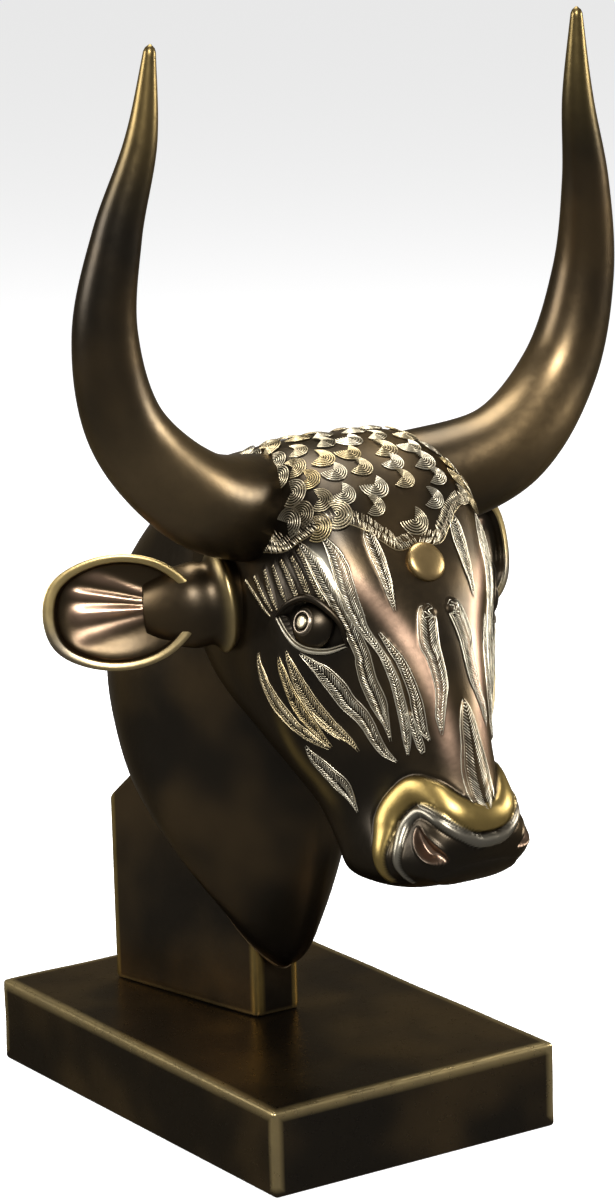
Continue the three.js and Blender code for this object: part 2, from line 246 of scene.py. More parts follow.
class Shade:
    """A shader socket that takes part in arithmetic."""

    def __init__(self, nodes: "NodeBench", socket: bpy.types.NodeSocket) -> None:
        """Wraps a socket of the tree that nodes builds."""
        self.nodes = nodes
        self.socket = socket

    def _math(self, operation: str, *values: "Shade | float") -> "Shade":
        """Adds one Math node."""
        return self.nodes.add("ShaderNodeMath", {"operation": operation}, dict(enumerate(values)))

    def __add__(self, other: "Shade | float") -> "Shade":
        """Sum."""
        return self._math("ADD", self, other)

    def __sub__(self, other: "Shade | float") -> "Shade":
        """Difference."""
        return self._math("SUBTRACT", self, other)

    def __mul__(self, other: "Shade | float") -> "Shade":
        """Product."""
        return self._math("MULTIPLY", self, other)

    def __rsub__(self, other: float) -> "Shade":
        """Difference from a number."""
        return self._math("SUBTRACT", other, self)

    __radd__ = __add__
    __rmul__ = __mul__

    def clamped(self) -> "Shade":
        """Held between 0 and 1."""
        made = self.nodes.add("ShaderNodeMath", {"operation": "ADD", "use_clamp": True}, {0: self, 1: 0.0})
        return made

    def stepped(self, low: float, high: float) -> "Shade":
        """Rises smoothly from 0 at low to 1 at high."""
        return self.nodes.add(
            "ShaderNodeMapRange", {"interpolation_type": "SMOOTHSTEP"}, {"Value": self, "From Min": low, "From Max": high}
        )


class NodeBench:
    """Adds nodes to a tree and links them."""

    def __init__(self, tree: bpy.types.NodeTree) -> None:
        """Works on the tree given."""
        self.tree = tree

    def add(self, kind: str, settings: dict | None = None, values: dict | None = None, out: int | str = 0) -> Shade:
        """Adds a node.

        Args:
            kind: the node's type.
            settings: properties set first.
            values: socket name or number to a value or a Shade.
            out: the output socket that is returned.

        Returns:
            The output socket.
        """
        node = self.tree.nodes.new(kind)
        for key, value in (settings or {}).items():
            setattr(node, key, value)
        for key, value in (values or {}).items():
            if isinstance(value, Shade):
                self.tree.links.new(value.socket, node.inputs[key])
            else:
                node.inputs[key].default_value = value
        return Shade(self, node.outputs[out])


class Paint(NodeBench):
    """Builds the nodes of one material."""

    def __init__(self, name: str) -> None:
        """Starts a material whose tree holds only its output."""
        self.material = bpy.data.materials.new(name)
        self.material.use_nodes = True
        super().__init__(self.material.node_tree)
        self.tree.nodes.clear()
        self.output = self.tree.nodes.new("ShaderNodeOutputMaterial")

    def mix(self, factor: Shade, low: tuple | Shade, high: tuple | Shade) -> Shade:
        """Mixes two colours."""
        colours = [value if isinstance(value, Shade) else (*value, 1) for value in (low, high)]
        return self.add("ShaderNodeMix", {"data_type": "RGBA"}, {0: factor, 6: colours[0], 7: colours[1]}, out=2)

    def mask(self, name: str) -> Shade:
        """A named value of the mesh."""
        return self.add("ShaderNodeAttribute", {"attribute_name": name}, out="Fac")

    def noise(self, scale: float, detail: float = 3, rough: float = 0.55) -> Shade:
        """Noise on Object coordinates, with scale in waves a metre."""
        place = self.add("ShaderNodeTexCoord", out="Object")
        return self.add("ShaderNodeTexNoise", {}, {"Vector": place, "Scale": scale, "Detail": detail, "Roughness": rough})

    def finish(self, shader: Shade) -> bpy.types.Material:
        """Links the shader to the output and gives the material."""
        self.tree.links.new(shader.socket, self.output.inputs["Surface"])
        return self.material


class Weave(NodeBench):
    """A geometry tree that turns lines or points into fine raised marks."""

    def __init__(self, name: str) -> None:
        """Starts a tree with a geometry input and output and an input for the finish."""
        super().__init__(bpy.data.node_groups.new(name, "GeometryNodeTree"))
        face = self.tree.interface
        face.new_socket("Geometry", in_out="OUTPUT", socket_type="NodeSocketGeometry")
        face.new_socket("Geometry", in_out="INPUT", socket_type="NodeSocketGeometry")
        face.new_socket("Finish", in_out="INPUT", socket_type="NodeSocketMaterial")
        self.source = self.tree.nodes.new("NodeGroupInput")
        self.geometry = Shade(self, self.source.outputs["Geometry"])

    def input(self, name: str, kind: str, value: float) -> Shade:
        """Adds a named input."""
        socket = self.tree.interface.new_socket(name, in_out="INPUT", socket_type=kind)
        socket.default_value = value
        return Shade(self, self.source.outputs[name])

    def field(self, name: str, kind: str = "FLOAT") -> Shade:
        """A named attribute of the marks."""
        return self.add("GeometryNodeInputNamedAttribute", {"data_type": kind}, {"Name": name})

    def end(self, geometry: Shade) -> bpy.types.NodeTree:
        """Realizes, smooths and paints the result."""
        real = self.add("GeometryNodeRealizeInstances", {}, {"Geometry": geometry})
        smooth = self.add("GeometryNodeSetShadeSmooth", {}, {"Geometry": real})
        finish = Shade(self, self.source.outputs["Finish"])
        painted = self.add("GeometryNodeSetMaterial", {}, {"Geometry": smooth, "Material": finish})
        output = self.tree.nodes.new("NodeGroupOutput")
        self.tree.links.new(painted.socket, output.inputs["Geometry"])
        return self.tree


def thread_tree() -> bpy.types.NodeTree:
    """Raised threads along the edges of a mesh, as thick as its attribute half says."""
    weave = Weave("raised_threads")
    sides = weave.input("Sides", "NodeSocketInt", 5)
    curve = weave.add("GeometryNodeMeshToCurve", {}, {"Mesh": weave.geometry})
    ring = weave.add("GeometryNodeCurvePrimitiveCircle", {}, {"Resolution": sides, "Radius": 1.0})
    half = weave.field("half")
    tube = weave.add("GeometryNodeCurveToMesh", {}, {"Curve": curve, "Profile Curve": ring, "Scale": half,
                                                     "Fill Caps": True})
    return weave.end(tube)


def stroke_tree() -> bpy.types.NodeTree:
    """A grain on each point, turned along its attribute along and scaled by its attribute size."""
    weave = Weave("raised_strokes")
    sides = weave.input("Sides", "NodeSocketInt", 5)
    rings = weave.input("Rings", "NodeSocketInt", 4)
    grain = weave.add("GeometryNodeMeshUVSphere", {}, {"Segments": sides, "Rings": rings, "Radius": 1.0})
    turn = weave.add("FunctionNodeAxesToRotation", {"primary_axis": "Z", "secondary_axis": "X"},
                     {"Primary Axis": weave.field("along", "FLOAT_VECTOR"),
                      "Secondary Axis": weave.field("out", "FLOAT_VECTOR")})
    placed = weave.add("GeometryNodeInstanceOnPoints", {}, {
        "Points": weave.geometry, "Instance": grain, "Rotation": turn, "Scale": weave.field("size", "FLOAT_VECTOR")})
    return weave.end(placed)


def curl_tree() -> bpy.types.NodeTree:
    """A curl of concentric ridges on each point, facing out and turned along."""
    weave = Weave("poll_curls")
    arcs = weave.input("Ridges", "NodeSocketInt", 6)
    steps = weave.input("Steps on a ridge", "NodeSocketInt", 15)
    half = weave.input("Half width of a ridge", "NodeSocketFloat", 0.055)
    dome = weave.input("Fall towards the edge", "NodeSocketFloat", 0.14)
    arc = weave.add("GeometryNodeCurveArc", {"mode": "RADIUS"}, {
        "Resolution": steps, "Radius": 1.0, "Start Angle": math.radians(-120), "Sweep Angle": math.radians(240)})
    line = weave.add("GeometryNodeMeshLine", {"mode": "OFFSET", "count_mode": "TOTAL"},
                     {"Count": arcs, "Offset": (0.0, 0.0, 0.0)})
    number = weave.add("GeometryNodeInputIndex")
    share = weave.add("ShaderNodeMath", {"operation": "DIVIDE"}, {0: number + 0.75, 1: arcs})
    nest = weave.add("GeometryNodeInstanceOnPoints", {}, {"Points": line, "Instance": arc, "Scale": share})
    real = weave.add("GeometryNodeRealizeInstances", {}, {"Geometry": nest})
    place = weave.add("GeometryNodeInputPosition")
    length = weave.add("ShaderNodeVectorMath", {"operation": "LENGTH"}, {0: place}, out="Value")
    fall = weave.add("ShaderNodeCombineXYZ", {}, {"Z": length * length * dome * -1.0})
    bent = weave.add("GeometryNodeSetPosition", {}, {"Geometry": real, "Offset": fall})
    ring = weave.add("GeometryNodeCurvePrimitiveCircle", {}, {"Resolution": 4, "Radius": half})
    ridges = weave.add("GeometryNodeCurveToMesh", {}, {"Curve": bent, "Profile Curve": ring, "Fill Caps": True})
    turn = weave.add("FunctionNodeAxesToRotation", {"primary_axis": "Z", "secondary_axis": "X"},
                     {"Primary Axis": weave.field("out", "FLOAT_VECTOR"),
                      "Secondary Axis": weave.field("along", "FLOAT_VECTOR")})
    placed = weave.add("GeometryNodeInstanceOnPoints", {}, {
        "Points": weave.geometry, "Instance": ridges, "Rotation": turn, "Scale": weave.field("size", "FLOAT_VECTOR")})
    return weave.end(placed)


def woven(name: str, points: np.ndarray, edges: list, fields: dict, tree: bpy.types.NodeTree,
          material: bpy.types.Material, settings: dict | None = None) -> bpy.types.Object:
    """Makes a piece by running a geometry tree on points or lines.

    Args:
        name: the piece's name.
        points: shape (n, 3), in millimetres.
        edges: pairs of point numbers, or none.
        fields: attribute name to values, one number or vector for each point.
        tree: the geometry tree.
        material: the finish that the tree sets.
        settings: named inputs of the tree that differ from their defaults.

    Returns:
        The piece as a plain mesh.
    """
    mesh = bpy.data.meshes.new(name)
    mesh.from_pydata((points * MM).tolist(), edges, [])
    for field_name, values in fields.items():
        values = np.asarray(values, np.float32)
        vector = values.ndim == 2
        layer = mesh.attributes.new(field_name, "FLOAT_VECTOR" if vector else "FLOAT", "POINT")
        layer.data.foreach_set("vector" if vector else "value", values.ravel())
    made = bpy.data.objects.new(name, mesh)
    bpy.context.scene.collection.objects.link(made)
    modifier = made.modifiers.new("marks", "NODES")
    modifier.node_group = tree
    wanted = {"Finish": material, **(settings or {})}
    for item in tree.interface.items_tree:
        if item.in_out == "INPUT" and item.name in wanted:
            modifier[item.identifier] = wanted[item.name]
    bpy.context.view_layer.update()
    graph = bpy.context.evaluated_depsgraph_get()
    result = bpy.data.meshes.new_from_object(made.evaluated_get(graph), preserve_all_data_layers=True, depsgraph=graph)
    made.modifiers.remove(modifier)
    made.data = result
    return made


@dataclass(frozen=True)
class BronzeFinish:
    """Near-black bronze, rubbed through to gilt and copper where a mask says so, with painted highlights and painted
    shade where masks say so.

    Attributes:
        name: the material's name.
        dark: colour of the deep ground.
        brown: colour of the ground's warmer clouds.
        gilt: colour of the rubbed gilt.
        copper_and_highlight: colour of the rubbed copper, and of the painted highlight along the face's ridge crest.
        silver_and_highlight: colour of the palest wear, and of the painted highlight on the patch between the forehead
            locks.
        roughness: the ground's roughness.
    """

    name: str
    dark: tuple = (0.024, 0.019, 0.013)
    brown: tuple = (0.075, 0.050, 0.024)
    gilt: tuple = (0.40, 0.28, 0.085)
    copper_and_highlight: tuple = (0.48, 0.31, 0.21)
    silver_and_highlight: tuple = (0.62, 0.57, 0.45)
    roughness: float = 0.34

    def material(self) -> bpy.types.Material:
        """Builds the material."""
        bench = Paint(self.name)
        clouds = bench.noise(22, 2).stepped(0.38, 0.68)
        grain = bench.noise(420, 4)
        specks = bench.noise(1500, 2)
        rubbed = bench.noise(90, 4, 0.62)
        # The copper and silver masks hold rubbed metal, and on the ridge crest and between the forehead locks partly a
        # painted highlight.
        gilt = (bench.mask("gilt") * (0.62 + rubbed * 0.75)).clamped()
        copper_and_highlight = (bench.mask("copper_and_highlight") * (0.6 + rubbed * 0.8)).clamped()
        silver_and_highlight = bench.mask("silver_and_highlight").clamped()
        ground = bench.mix(clouds, self.dark, self.brown)
        colour = bench.mix(gilt, ground, self.gilt)
        colour = bench.mix(copper_and_highlight, colour, self.copper_and_highlight)
        colour = bench.mix(silver_and_highlight, colour, self.silver_and_highlight)
        shade = (bench.mask("shade") * 0.85).clamped()
        colour = bench.mix(shade, colour, tuple(0.45 * value for value in self.dark))
        rough = self.roughness + (grain - 0.5) * 0.16 + (specks - 0.5) * 0.08
        uneven = bench.noise(60, 3)
        height = uneven * 1.0 + grain * 0.10 + specks * 0.05
        bump = bench.add("ShaderNodeBump", {}, {"Strength": 0.35, "Distance": 0.0006, "Height": height})
        shader = bench.add("ShaderNodeBsdfPrincipled", {}, {
            "Base Color": colour, "Metallic": 0.95, "Roughness": rough, "Coat Weight": 0.12, "Coat Roughness": 0.3,
            "Specular Tint": (0.55, 0.48, 0.38, 1), "Normal": bump,
        })
        return bench.finish(shader)


# The base and what stands on it


@dataclass
class Plinth:
    """The flat rectangular base, with edges rounded by hand finishing.

    Attributes:
        edge: radius of its edges.
        uneven: how far the cast faces wander.
        step: size of the mesh's squares.
    """

    edge: float = 1.5
    uneven: float = 0.22
    step: float = 2.2

    def build(self) -> bpy.types.Object:
        """Makes the rounded block over the CAD node's box."""
        low, high = (np.array(corner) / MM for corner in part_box("plinth"))
        half, centre = (high - low) / 2, (high + low) / 2
        axes = []
        for size in half:
            inner = np.linspace(-(size - self.edge), size - self.edge, int(2 * size / self.step))
            turn = size - self.edge * (1 - np.sin(np.linspace(0, np.pi / 2, 5)[1:]))
            axes.append(np.concatenate([-turn[::-1], inner, turn]))
        points, faces = self._shell(axes)
        inner = np.clip(points, -(half - self.edge), half - self.edge)
        away = unit(points - inner)
        on_edge = np.linalg.norm(points - inner, axis=1) > 1e-6
        points = np.where(on_edge[:, None], inner + away * self.edge, points)
        wave = np.sin(points @ np.array([0.09, 0.13, 0.21]) + 1.3) + np.sin(points @ np.array([-0.17, 0.07, 0.33]))
        sag = -self.uneven * 0.5 * (1 + 0.5 * wave)
        sag = np.where(points[:, 2] < -half[2] + self.edge, 0, sag)
        points = points + np.where(on_edge[:, None], away * sag[:, None], 0)
        edges = np.sum(np.abs(points) > half - 1.6 * self.edge, axis=1) >= 2
        near_top = points[:, 2] > -half[2] + self.edge
        masks = {"gilt": np.where(edges & near_top, 0.75, 0.0), "copper_and_highlight": np.zeros(len(points)),
                 "silver_and_highlight": np.where(edges & near_top, 0.15, 0.0), "shade": np.zeros(len(points))}
        return make_object("plinth_cast", points + centre, faces, masks)

    @staticmethod
    def _shell(axes: list) -> tuple:
        """Points and faces of a box's outside on a grid with those places along X, Y and Z."""
        counts = [len(axis) for axis in axes]
        index, points, faces = {}, [], []

        def number(place: tuple) -> int:
            """The number of a grid point, made when first asked for."""
            if place not in index:
                index[place] = len(points)
                points.append([axes[k][place[k]] for k in range(3)])
            return index[place]

        for flat in range(3):
            wide, tall = (flat + 1) % 3, (flat + 2) % 3
            for end in (0, counts[flat] - 1):
                for i in range(counts[wide] - 1):
                    for j in range(counts[tall] - 1):
                        corners = []
                        for di, dj in ((0, 0), (1, 0), (1, 1), (0, 1)):
                            place = [0, 0, 0]
                            place[flat], place[wide], place[tall] = end, i + di, j + dj
                            corners.append(number(tuple(place)))
                        faces.append(corners if end else corners[::-1])
        return np.array(points), faces


@dataclass
class Wedge:
    """The upright wedge that carries the neck, narrow in front and cut to a slope behind.

    Attributes:
        back, front: its ends along Y.
        back_half, front_half: half widths at its ends.
        bow: how far its sides bow outwards.
        back_top, slope_end, top: height of its back edge, and where its slope ends.
        corner: radius of its upright edges.
    """

    foot: float
    back: float = 60.8
    front: float = -5.0
    back_half: float = 21.8
    front_half: float = 8.0
    bow: float = 1.2
    back_top: float = 90.0
    slope_end: float = 38.0
    top: float = 110.0
    corner: float = 1.4

    def outline(self) -> np.ndarray:
        """The plan, a closed list of points [x, y] with rounded corners."""
        middle = [(self.back_half + self.front_half) / 2 + self.bow, (self.back + self.front) / 2]
        share = np.linspace(0, 1, 40)[:, None]
        front, back = np.array([self.front_half, self.front]), np.array([self.back_half, self.back])
        side = (1 - share) ** 2 * front + 2 * share * (1 - share) * np.array(middle) + share**2 * back
        ends = np.linspace(-1, 1, 24)[1:-1, None]
        rear = np.concatenate([-ends * self.back_half, np.full_like(ends, self.back)], axis=1)
        nose = np.concatenate([ends * self.front_half, np.full_like(ends, self.front)], axis=1)
        loop = np.concatenate([side, rear, (side * [-1, 1])[::-1], nose])
        return self._rounded(loop)

    def _rounded(self, loop: np.ndarray) -> np.ndarray:
        """The loop with its corners cut to a radius, by averaging along its length."""
        closed = np.concatenate([loop, loop[:1]])
        length = np.concatenate([[0], np.cumsum(np.linalg.norm(np.diff(closed, axis=0), axis=1))])
        count = 260
        even = np.linspace(0, length[-1], count, endpoint=False)
        line = np.stack([np.interp(even, length, closed[:, k]) for k in range(2)], axis=1)
        reach = max(1, int(round(self.corner / (length[-1] / count))))
        return sum(np.roll(line, k, axis=0) for k in range(-reach, reach + 1)) / (2 * reach + 1)

    def build(self) -> bpy.types.Object:
        """Makes the wedge."""
        plan = self.outline()
        slope = (self.top - self.back_top) / (self.back - self.slope_end)
        crown = np.minimum(self.top, self.back_top + (self.back - plan[:, 1]) * slope)
        shares = np.concatenate([[0, 0.006, 0.02], np.linspace(0.04, 0.98, 60), [0.992, 1.0]])
        rings, worn = [], []
        for share in shares:
            draw = 0.9 * max(0.0, 1 - share / 0.012) + 0.9 * max(0.0, (share - 0.985) / 0.015)
            centre = plan.mean(0)
            inset = plan - unit(plan - centre) * draw * 0.6
            rings.append(np.column_stack([inset, self.foot + (crown - self.foot) * share]))
            worn.append(np.full(len(plan), 0.0))
        for share in (0.9, 0.6, 0.3):
            flat = plan.mean(0) + (plan - plan.mean(0)) * share
            height = np.minimum(self.top, self.back_top + (self.back - flat[:, 1]) * slope)
            rings.append(np.column_stack([flat, height]))
            worn.append(np.zeros(len(plan)))
        rings, worn = np.array(rings), np.array(worn)
        turn = unit(np.gradient(plan, axis=0))
        bend = np.linalg.norm(np.roll(turn, -3, axis=0) - np.roll(turn, 3, axis=0), axis=1)
        upright = smooth_step(bend, 0.25, 0.9)[None] * np.ones((len(rings), 1))
        sill = np.exp(-((rings[..., 2] - self.foot) / 0.8) ** 2)
        masks = {"gilt": np.maximum(0.55 * upright, 0.5 * sill), "copper_and_highlight": worn, "silver_and_highlight": 0.12 * sill,
                 "shade": 0 * worn}
        return tube_object("neck_wedge", rings, masks)


# The head and neck


HEAD_SECTIONS = (
    ((-10, 214), (16, 178), (17, 0.04), (25, 0.22), (28, 0.5), (20, 0.85)),
    ((-50, 223), (4, 157), (22, 0.03), (29, 0.16), (32, 0.43), (26, 0.88)),
    ((-75, 213), (-14, 141), (25, 0.03), (32, 0.14), (36, 0.4), (29, 0.9)),
    ((-91, 194), (-34, 128), (22.5, 0.04), (34, 0.22), (37.5, 0.45), (27, 0.9)),
    ((-101.5, 176), (-48, 117), (15.5, 0.06), (28, 0.27), (35, 0.52), (23, 0.9)),
    ((-109, 158), (-59, 108), (11.5, 0.06), (21, 0.29), (29, 0.54), (20, 0.9)),
    ((-114, 143), (-66, 98.5), (10, 0.08), (16.5, 0.3), (24, 0.56), (19, 0.9)),
    ((-117.5, 131), (-73, 93.5), (10, 0.08), (16.5, 0.27), (24, 0.55), (20, 0.9)),
    ((-121.5, 121), (-87, 93), (12, 0.08), (19.5, 0.28), (24.2, 0.55), (19, 0.9)),
    ((-123, 113), (-102, 95), (12, 0.1), (18.5, 0.3), (20.5, 0.55), (16, 0.9)),
    ((-119.5, 105.5), (-112, 98), (10, 0.12), (14, 0.35), (14.5, 0.6), (11, 0.9)),
)

NECK_SECTIONS = (
    ((26, 104), (-9.5, 44.5), (14, 0.03), (21, 0.2), (19, 0.5), (9, 0.88)),
    ((37, 108), (-17, 49), (16, 0.03), (25, 0.2), (24, 0.5), (10, 0.9)),
    ((50, 118), (-24.5, 60), (18, 0.03), (29, 0.2), (29, 0.5), (10, 0.92)),
    ((59, 132), (-32, 76), (20, 0.04), (31, 0.22), (33, 0.5), (11, 0.93)),
    ((61, 148), (-39, 95), (20, 0.04), (32, 0.22), (34, 0.5), (12, 0.93)),
    ((55, 166), (-42, 114), (20, 0.04), (31, 0.22), (34, 0.5), (14, 0.92)),
    ((38, 186), (-42, 138), (19, 0.04), (29, 0.22), (32, 0.5), (16, 0.92)),
    ((12, 204), (-42, 160), (18, 0.04), (27, 0.22), (30, 0.5), (15, 0.92)),
    ((-18, 215), (-45, 180), (16, 0.04), (25, 0.22), (27, 0.5), (12, 0.92)),
)


@dataclass
class Strip:
    """A raised or sunk strip along places on the face.

    Attributes:
        path: places [across, down].
        half: half width in its middle.
        high: height, or depth of a hollow.
        kind: its profile.
        gilt, copper, silver: how far the strip is rubbed.
        across_middle: runs from one side over the middle to the other.
    """

    path: tuple
    half: float
    high: float
    kind: Relief = Relief.ROLL
    gilt: float = 0.0
    copper_and_highlight: float = 0.0
    silver_and_highlight: float = 0.0
    across_middle: bool = False


MUZZLE_BAND = Strip(
    ((0.35, 0.85), (0.27, 0.735), (0.232, 0.668), (0.187, 0.652), (0.135, 0.695), (0.085, 0.755), (0.03, 0.81)),
    half=4.3, high=2.1, gilt=0.6, across_middle=True,
)
MUZZLE_FOLD = Strip(
    ((0.345, 0.92), (0.245, 0.79), (0.21, 0.725), (0.175, 0.718), (0.123, 0.775), (0.075, 0.845), (0.025, 0.9)),
    half=2.0, high=1.4, silver_and_highlight=0.25, across_middle=True,
)
NOSTRIL = Strip(((0.185, 0.76), (0.175, 0.86), (0.125, 0.95)), half=2.9, high=3.6, kind=Relief.HOLLOW, copper_and_highlight=0.3)


@dataclass
class Head:
    """The head's skin with everything that is lifted out of it or sunk into it.

    Attributes:
        fine: size of the mesh's squares on the face.
        coarse: their size on the sides and behind.
        lip_round: how far the rounded front of the lips bulges.
    """

    fine: float = 0.62
    coarse: float = 1.3
    lip_round: float = 1.6
    skin: Skin = field(default_factory=lambda: Skin(HEAD_SECTIONS))

    def __post_init__(self) -> None:
        """Lays out the grid and the bare skin."""
        shares = np.linspace(0, 1, 401)
        girth = self.skin.surface(shares, np.array([0.35]))[0]
        side = np.minimum(shares, 1 - shares)
        self.across = even_shares(girth, shares, self.fine + (self.coarse - self.fine) * smooth_step(side, 0.27, 0.34))[:-1]
        length = self.skin.surface(np.array([0.15]), shares)[:, 0]
        rough = self.fine + (self.coarse - self.fine) * (1 - smooth_step(shares, 0.04, 0.16))
        self.down = even_shares(length, shares, rough)
        self.base = self.skin.surface(self.across, self.down)
        self._round_lips()
        self.out = self._normals(self.base)
        self.height = np.zeros(self.base.shape[:2])
        self.masks = {name: np.zeros(self.base.shape[:2]) for name in ("gilt", "copper_and_highlight", "silver_and_highlight", "shade")}
        self.side = np.minimum(self.across, 1 - self.across)

    def _round_lips(self) -> None:
        """Adds rings that close the front of the lips in a soft round."""
        last = self.base[-1]
        centre = last.mean(0)
        ahead = unit(self.base[-1].mean(0) - self.base[-6].mean(0))
        rings = []
        for angle in np.linspace(0, np.pi / 2, 12)[1:-1]:
            rings.append(centre + (last - centre) * math.cos(angle) + ahead * self.lip_round * math.sin(angle))
        self.base = np.concatenate([self.base, rings])
        step = self.down[-1] - self.down[-2]
        self.down = np.concatenate([self.down, 1 + step * np.arange(1, len(rings) + 1)])

    @staticmethod
    def _normals(points: np.ndarray) -> np.ndarray:
        """Outward directions on a grid whose columns close on themselves."""
        around = np.roll(points, -1, axis=1) - np.roll(points, 1, axis=1)
        along = np.gradient(points, axis=0)
        return unit(np.cross(along, around))

    def point(self, across: np.ndarray, down: np.ndarray, surface: np.ndarray | None = None) -> np.ndarray:
        """Values of the grid at places, read between its points.

        Args:
            across: -0.5 to 0.5, positive on the bull's left.
            down: 0 to 1.
            surface: the grid that is read, or the bare skin.

        Returns:
            The values, one for each place.
        """
        grid = self.base if surface is None else surface
        columns = np.append(self.across, 1.0)
        col = np.interp(np.asarray(across) % 1, columns, np.arange(len(columns)))
        row = np.interp(down, self.down, np.arange(len(self.down)))
        c0, r0 = np.floor(col).astype(int), np.clip(np.floor(row).astype(int), 0, len(self.down) - 2)
        fc, fr = (col - c0), (row - r0)
        if grid.ndim == 3:
            fc, fr = fc[..., None], fr[..., None]
        c1 = (c0 + 1) % len(self.across)
        c0 = c0 % len(self.across)
        upper = grid[r0, c0] * (1 - fc) + grid[r0, c1] * fc
        lower = grid[r0 + 1, c0] * (1 - fc) + grid[r0 + 1, c1] * fc
        return upper * (1 - fr) + lower * fr

    def line(self, path: tuple, side: int, count: int) -> np.ndarray:
        """Places along a smooth line through a path, mirrored to one side, shape (count, 2)."""
        places = catmull_rom(np.array([[a, d, 0.0] for a, d in path]), np.linspace(0, 1, count))[:, :2]
        return places * [side, 1]

    def near(self, line: np.ndarray, reach: float) -> tuple:
        """Finds the grid points near a line of places.

        Args:
            line: places, shape (n, 2).
            reach: how near, in millimetres.

        Returns:
            Their rows and columns, their distance, their share of the way, and the side they are on.
        """
        spots = self.point(line[:, 0], line[:, 1])
        low, high = spots.min(0) - reach, spots.max(0) + reach
        inside = np.all((self.base > low) & (self.base < high), axis=2)
        rows, cols = np.nonzero(inside)
        away = self.base[rows, cols][:, None] - spots[None]
        distance = np.linalg.norm(away, axis=2)
        nearest = distance.argmin(1)
        picked = np.arange(len(rows)), nearest
        close = distance[picked] < reach
        tangent = np.gradient(spots, axis=0)[nearest]
        across = np.cross(tangent, self.out[rows, cols])
        turn = np.sign(np.sum(across * away[picked], axis=1))
        share = nearest / (len(line) - 1)
        return rows[close], cols[close], distance[picked][close], share[close], turn[close]

    def lay(self, strip: Strip, side: int) -> None:
        """Lifts or sinks one strip, and rubs it."""
        if strip.across_middle:
            mirror = tuple((-a, d) for a, d in strip.path)
            line = self.line(mirror + strip.path[::-1], side, 420)
        else:
            line = self.line(strip.path, side, 160)
        rows, cols, distance, share, _ = self.near(line, strip.half * 1.5)
        fade = np.sin(np.pi * np.clip(share, 0.0, 1.0)) ** 0.5
        if strip.across_middle:
            fade = np.clip(0.4 + 5 * np.minimum(share, 1 - share), 0, 1)
        width = strip.half * np.maximum(fade, 0.08)
        off = distance / width
        inside = np.clip(1 - off**2, 0, 1)
        if strip.kind is Relief.ROLL:
            lift = strip.high * fade * np.sqrt(inside)
            groove = 0.35 * np.exp(-((off - 1.12) / 0.12) ** 2) * fade
            self.height[rows, cols] += lift - groove
            self.masks["shade"][rows, cols] = np.maximum(self.masks["shade"][rows, cols], 0.8 * groove / 0.35)
        elif strip.kind is Relief.BLADE:
            edge = 1 - smooth_step(off, 0.86, 1.05)
            self.height[rows, cols] += strip.high * fade * edge * (0.75 + 0.25 * inside)
        else:
            self.height[rows, cols] -= strip.high * fade * smooth_step(1 - off, 0.0, 0.75)
            rim = 0.5 * np.exp(-((off - 1.08) / 0.16) ** 2) * fade
            self.height[rows, cols] += rim
        body = smooth_step(1.02 - off, 0.0, 0.18)
        for name in ("gilt", "copper_and_highlight", "silver_and_highlight"):
            mask = self.masks[name]
            mask[rows, cols] = np.maximum(mask[rows, cols], getattr(strip, name) * body * np.clip(fade * 2, 0, 1))

    def raise_band(self, rows: np.ndarray, high: float) -> None:
        """Raises a band along rows [across, down, half width] with a soft edge."""
        path = catmull_rom(rows, np.linspace(0, 1, 140))
        r, c, distance, share, _ = self.near(path[:, :2], float(path[:, 2].max()) * 1.3)
        half = np.maximum(np.interp(share, np.linspace(0, 1, len(path)), path[:, 2]), 0.2)
        lift = high * (1 - smooth_step(distance / half, 0.55, 1.15)) * np.clip(half, 0, 1)
        self.height[r, c] = np.maximum(self.height[r, c], lift)

    def raise_cap(self, edge: tuple, high: float) -> None:
        """Raises the hair behind an edge [across, down] that both halves share."""
        line = np.array(sorted(edge))
        limit = np.interp(self.side, line[:, 0], line[:, 1], right=0)
        away = limit[None] - self.down[:, None]
        self.height += high * smooth_step(away, 0.0, 0.012)

    def dome(self, across: float, down: float, radius: float, high: float) -> None:
        """Raises a low round dome."""
        centre = self.point(np.array([across]), np.array([down]))[0]
        off = np.linalg.norm(self.base - centre, axis=2) / radius
        self.height += high * np.sqrt(np.clip(1 - off**2, 0, 1))

    def sink_almond(self, upper: tuple, lower: tuple, side: int, deep: float) -> None:
        """Sinks the almond between two lid lines."""
        lines = [self.line(path, side, 60) for path in (upper, lower)]
        ring = np.concatenate([lines[0], lines[1][::-1]])
        spots = self.point(ring[:, 0], ring[:, 1])
        middle = spots.mean(0)
        normal = self.point(np.array([ring[:, 0].mean()]), np.array([ring[:, 1].mean()]), self.out)[0]
        one = unit(np.cross(normal, [0, 0, 1]))
        two = np.cross(normal, one)
        flat = np.column_stack([(spots - middle) @ one, (spots - middle) @ two])
        away = self.base - middle
        near = np.linalg.norm(away, axis=2) < 14
        rows, cols = np.nonzero(near)
        place = np.column_stack([away[rows, cols] @ one, away[rows, cols] @ two])
        ahead = np.roll(flat, -1, axis=0)
        crossing = (flat[None, :, 1] > place[:, None, 1]) != (ahead[None, :, 1] > place[:, None, 1])
        slope = (ahead[:, 0] - flat[:, 0]) / np.where(np.abs(ahead[:, 1] - flat[:, 1]) < 1e-9, 1e-9, ahead[:, 1] - flat[:, 1])
        reach = slope[None] * (place[:, None, 1] - flat[None, :, 1]) + flat[None, :, 0]
        inside = (crossing & (place[:, None, 0] < reach)).sum(1) % 2 == 1
        self.height[rows[inside], cols[inside]] = -deep

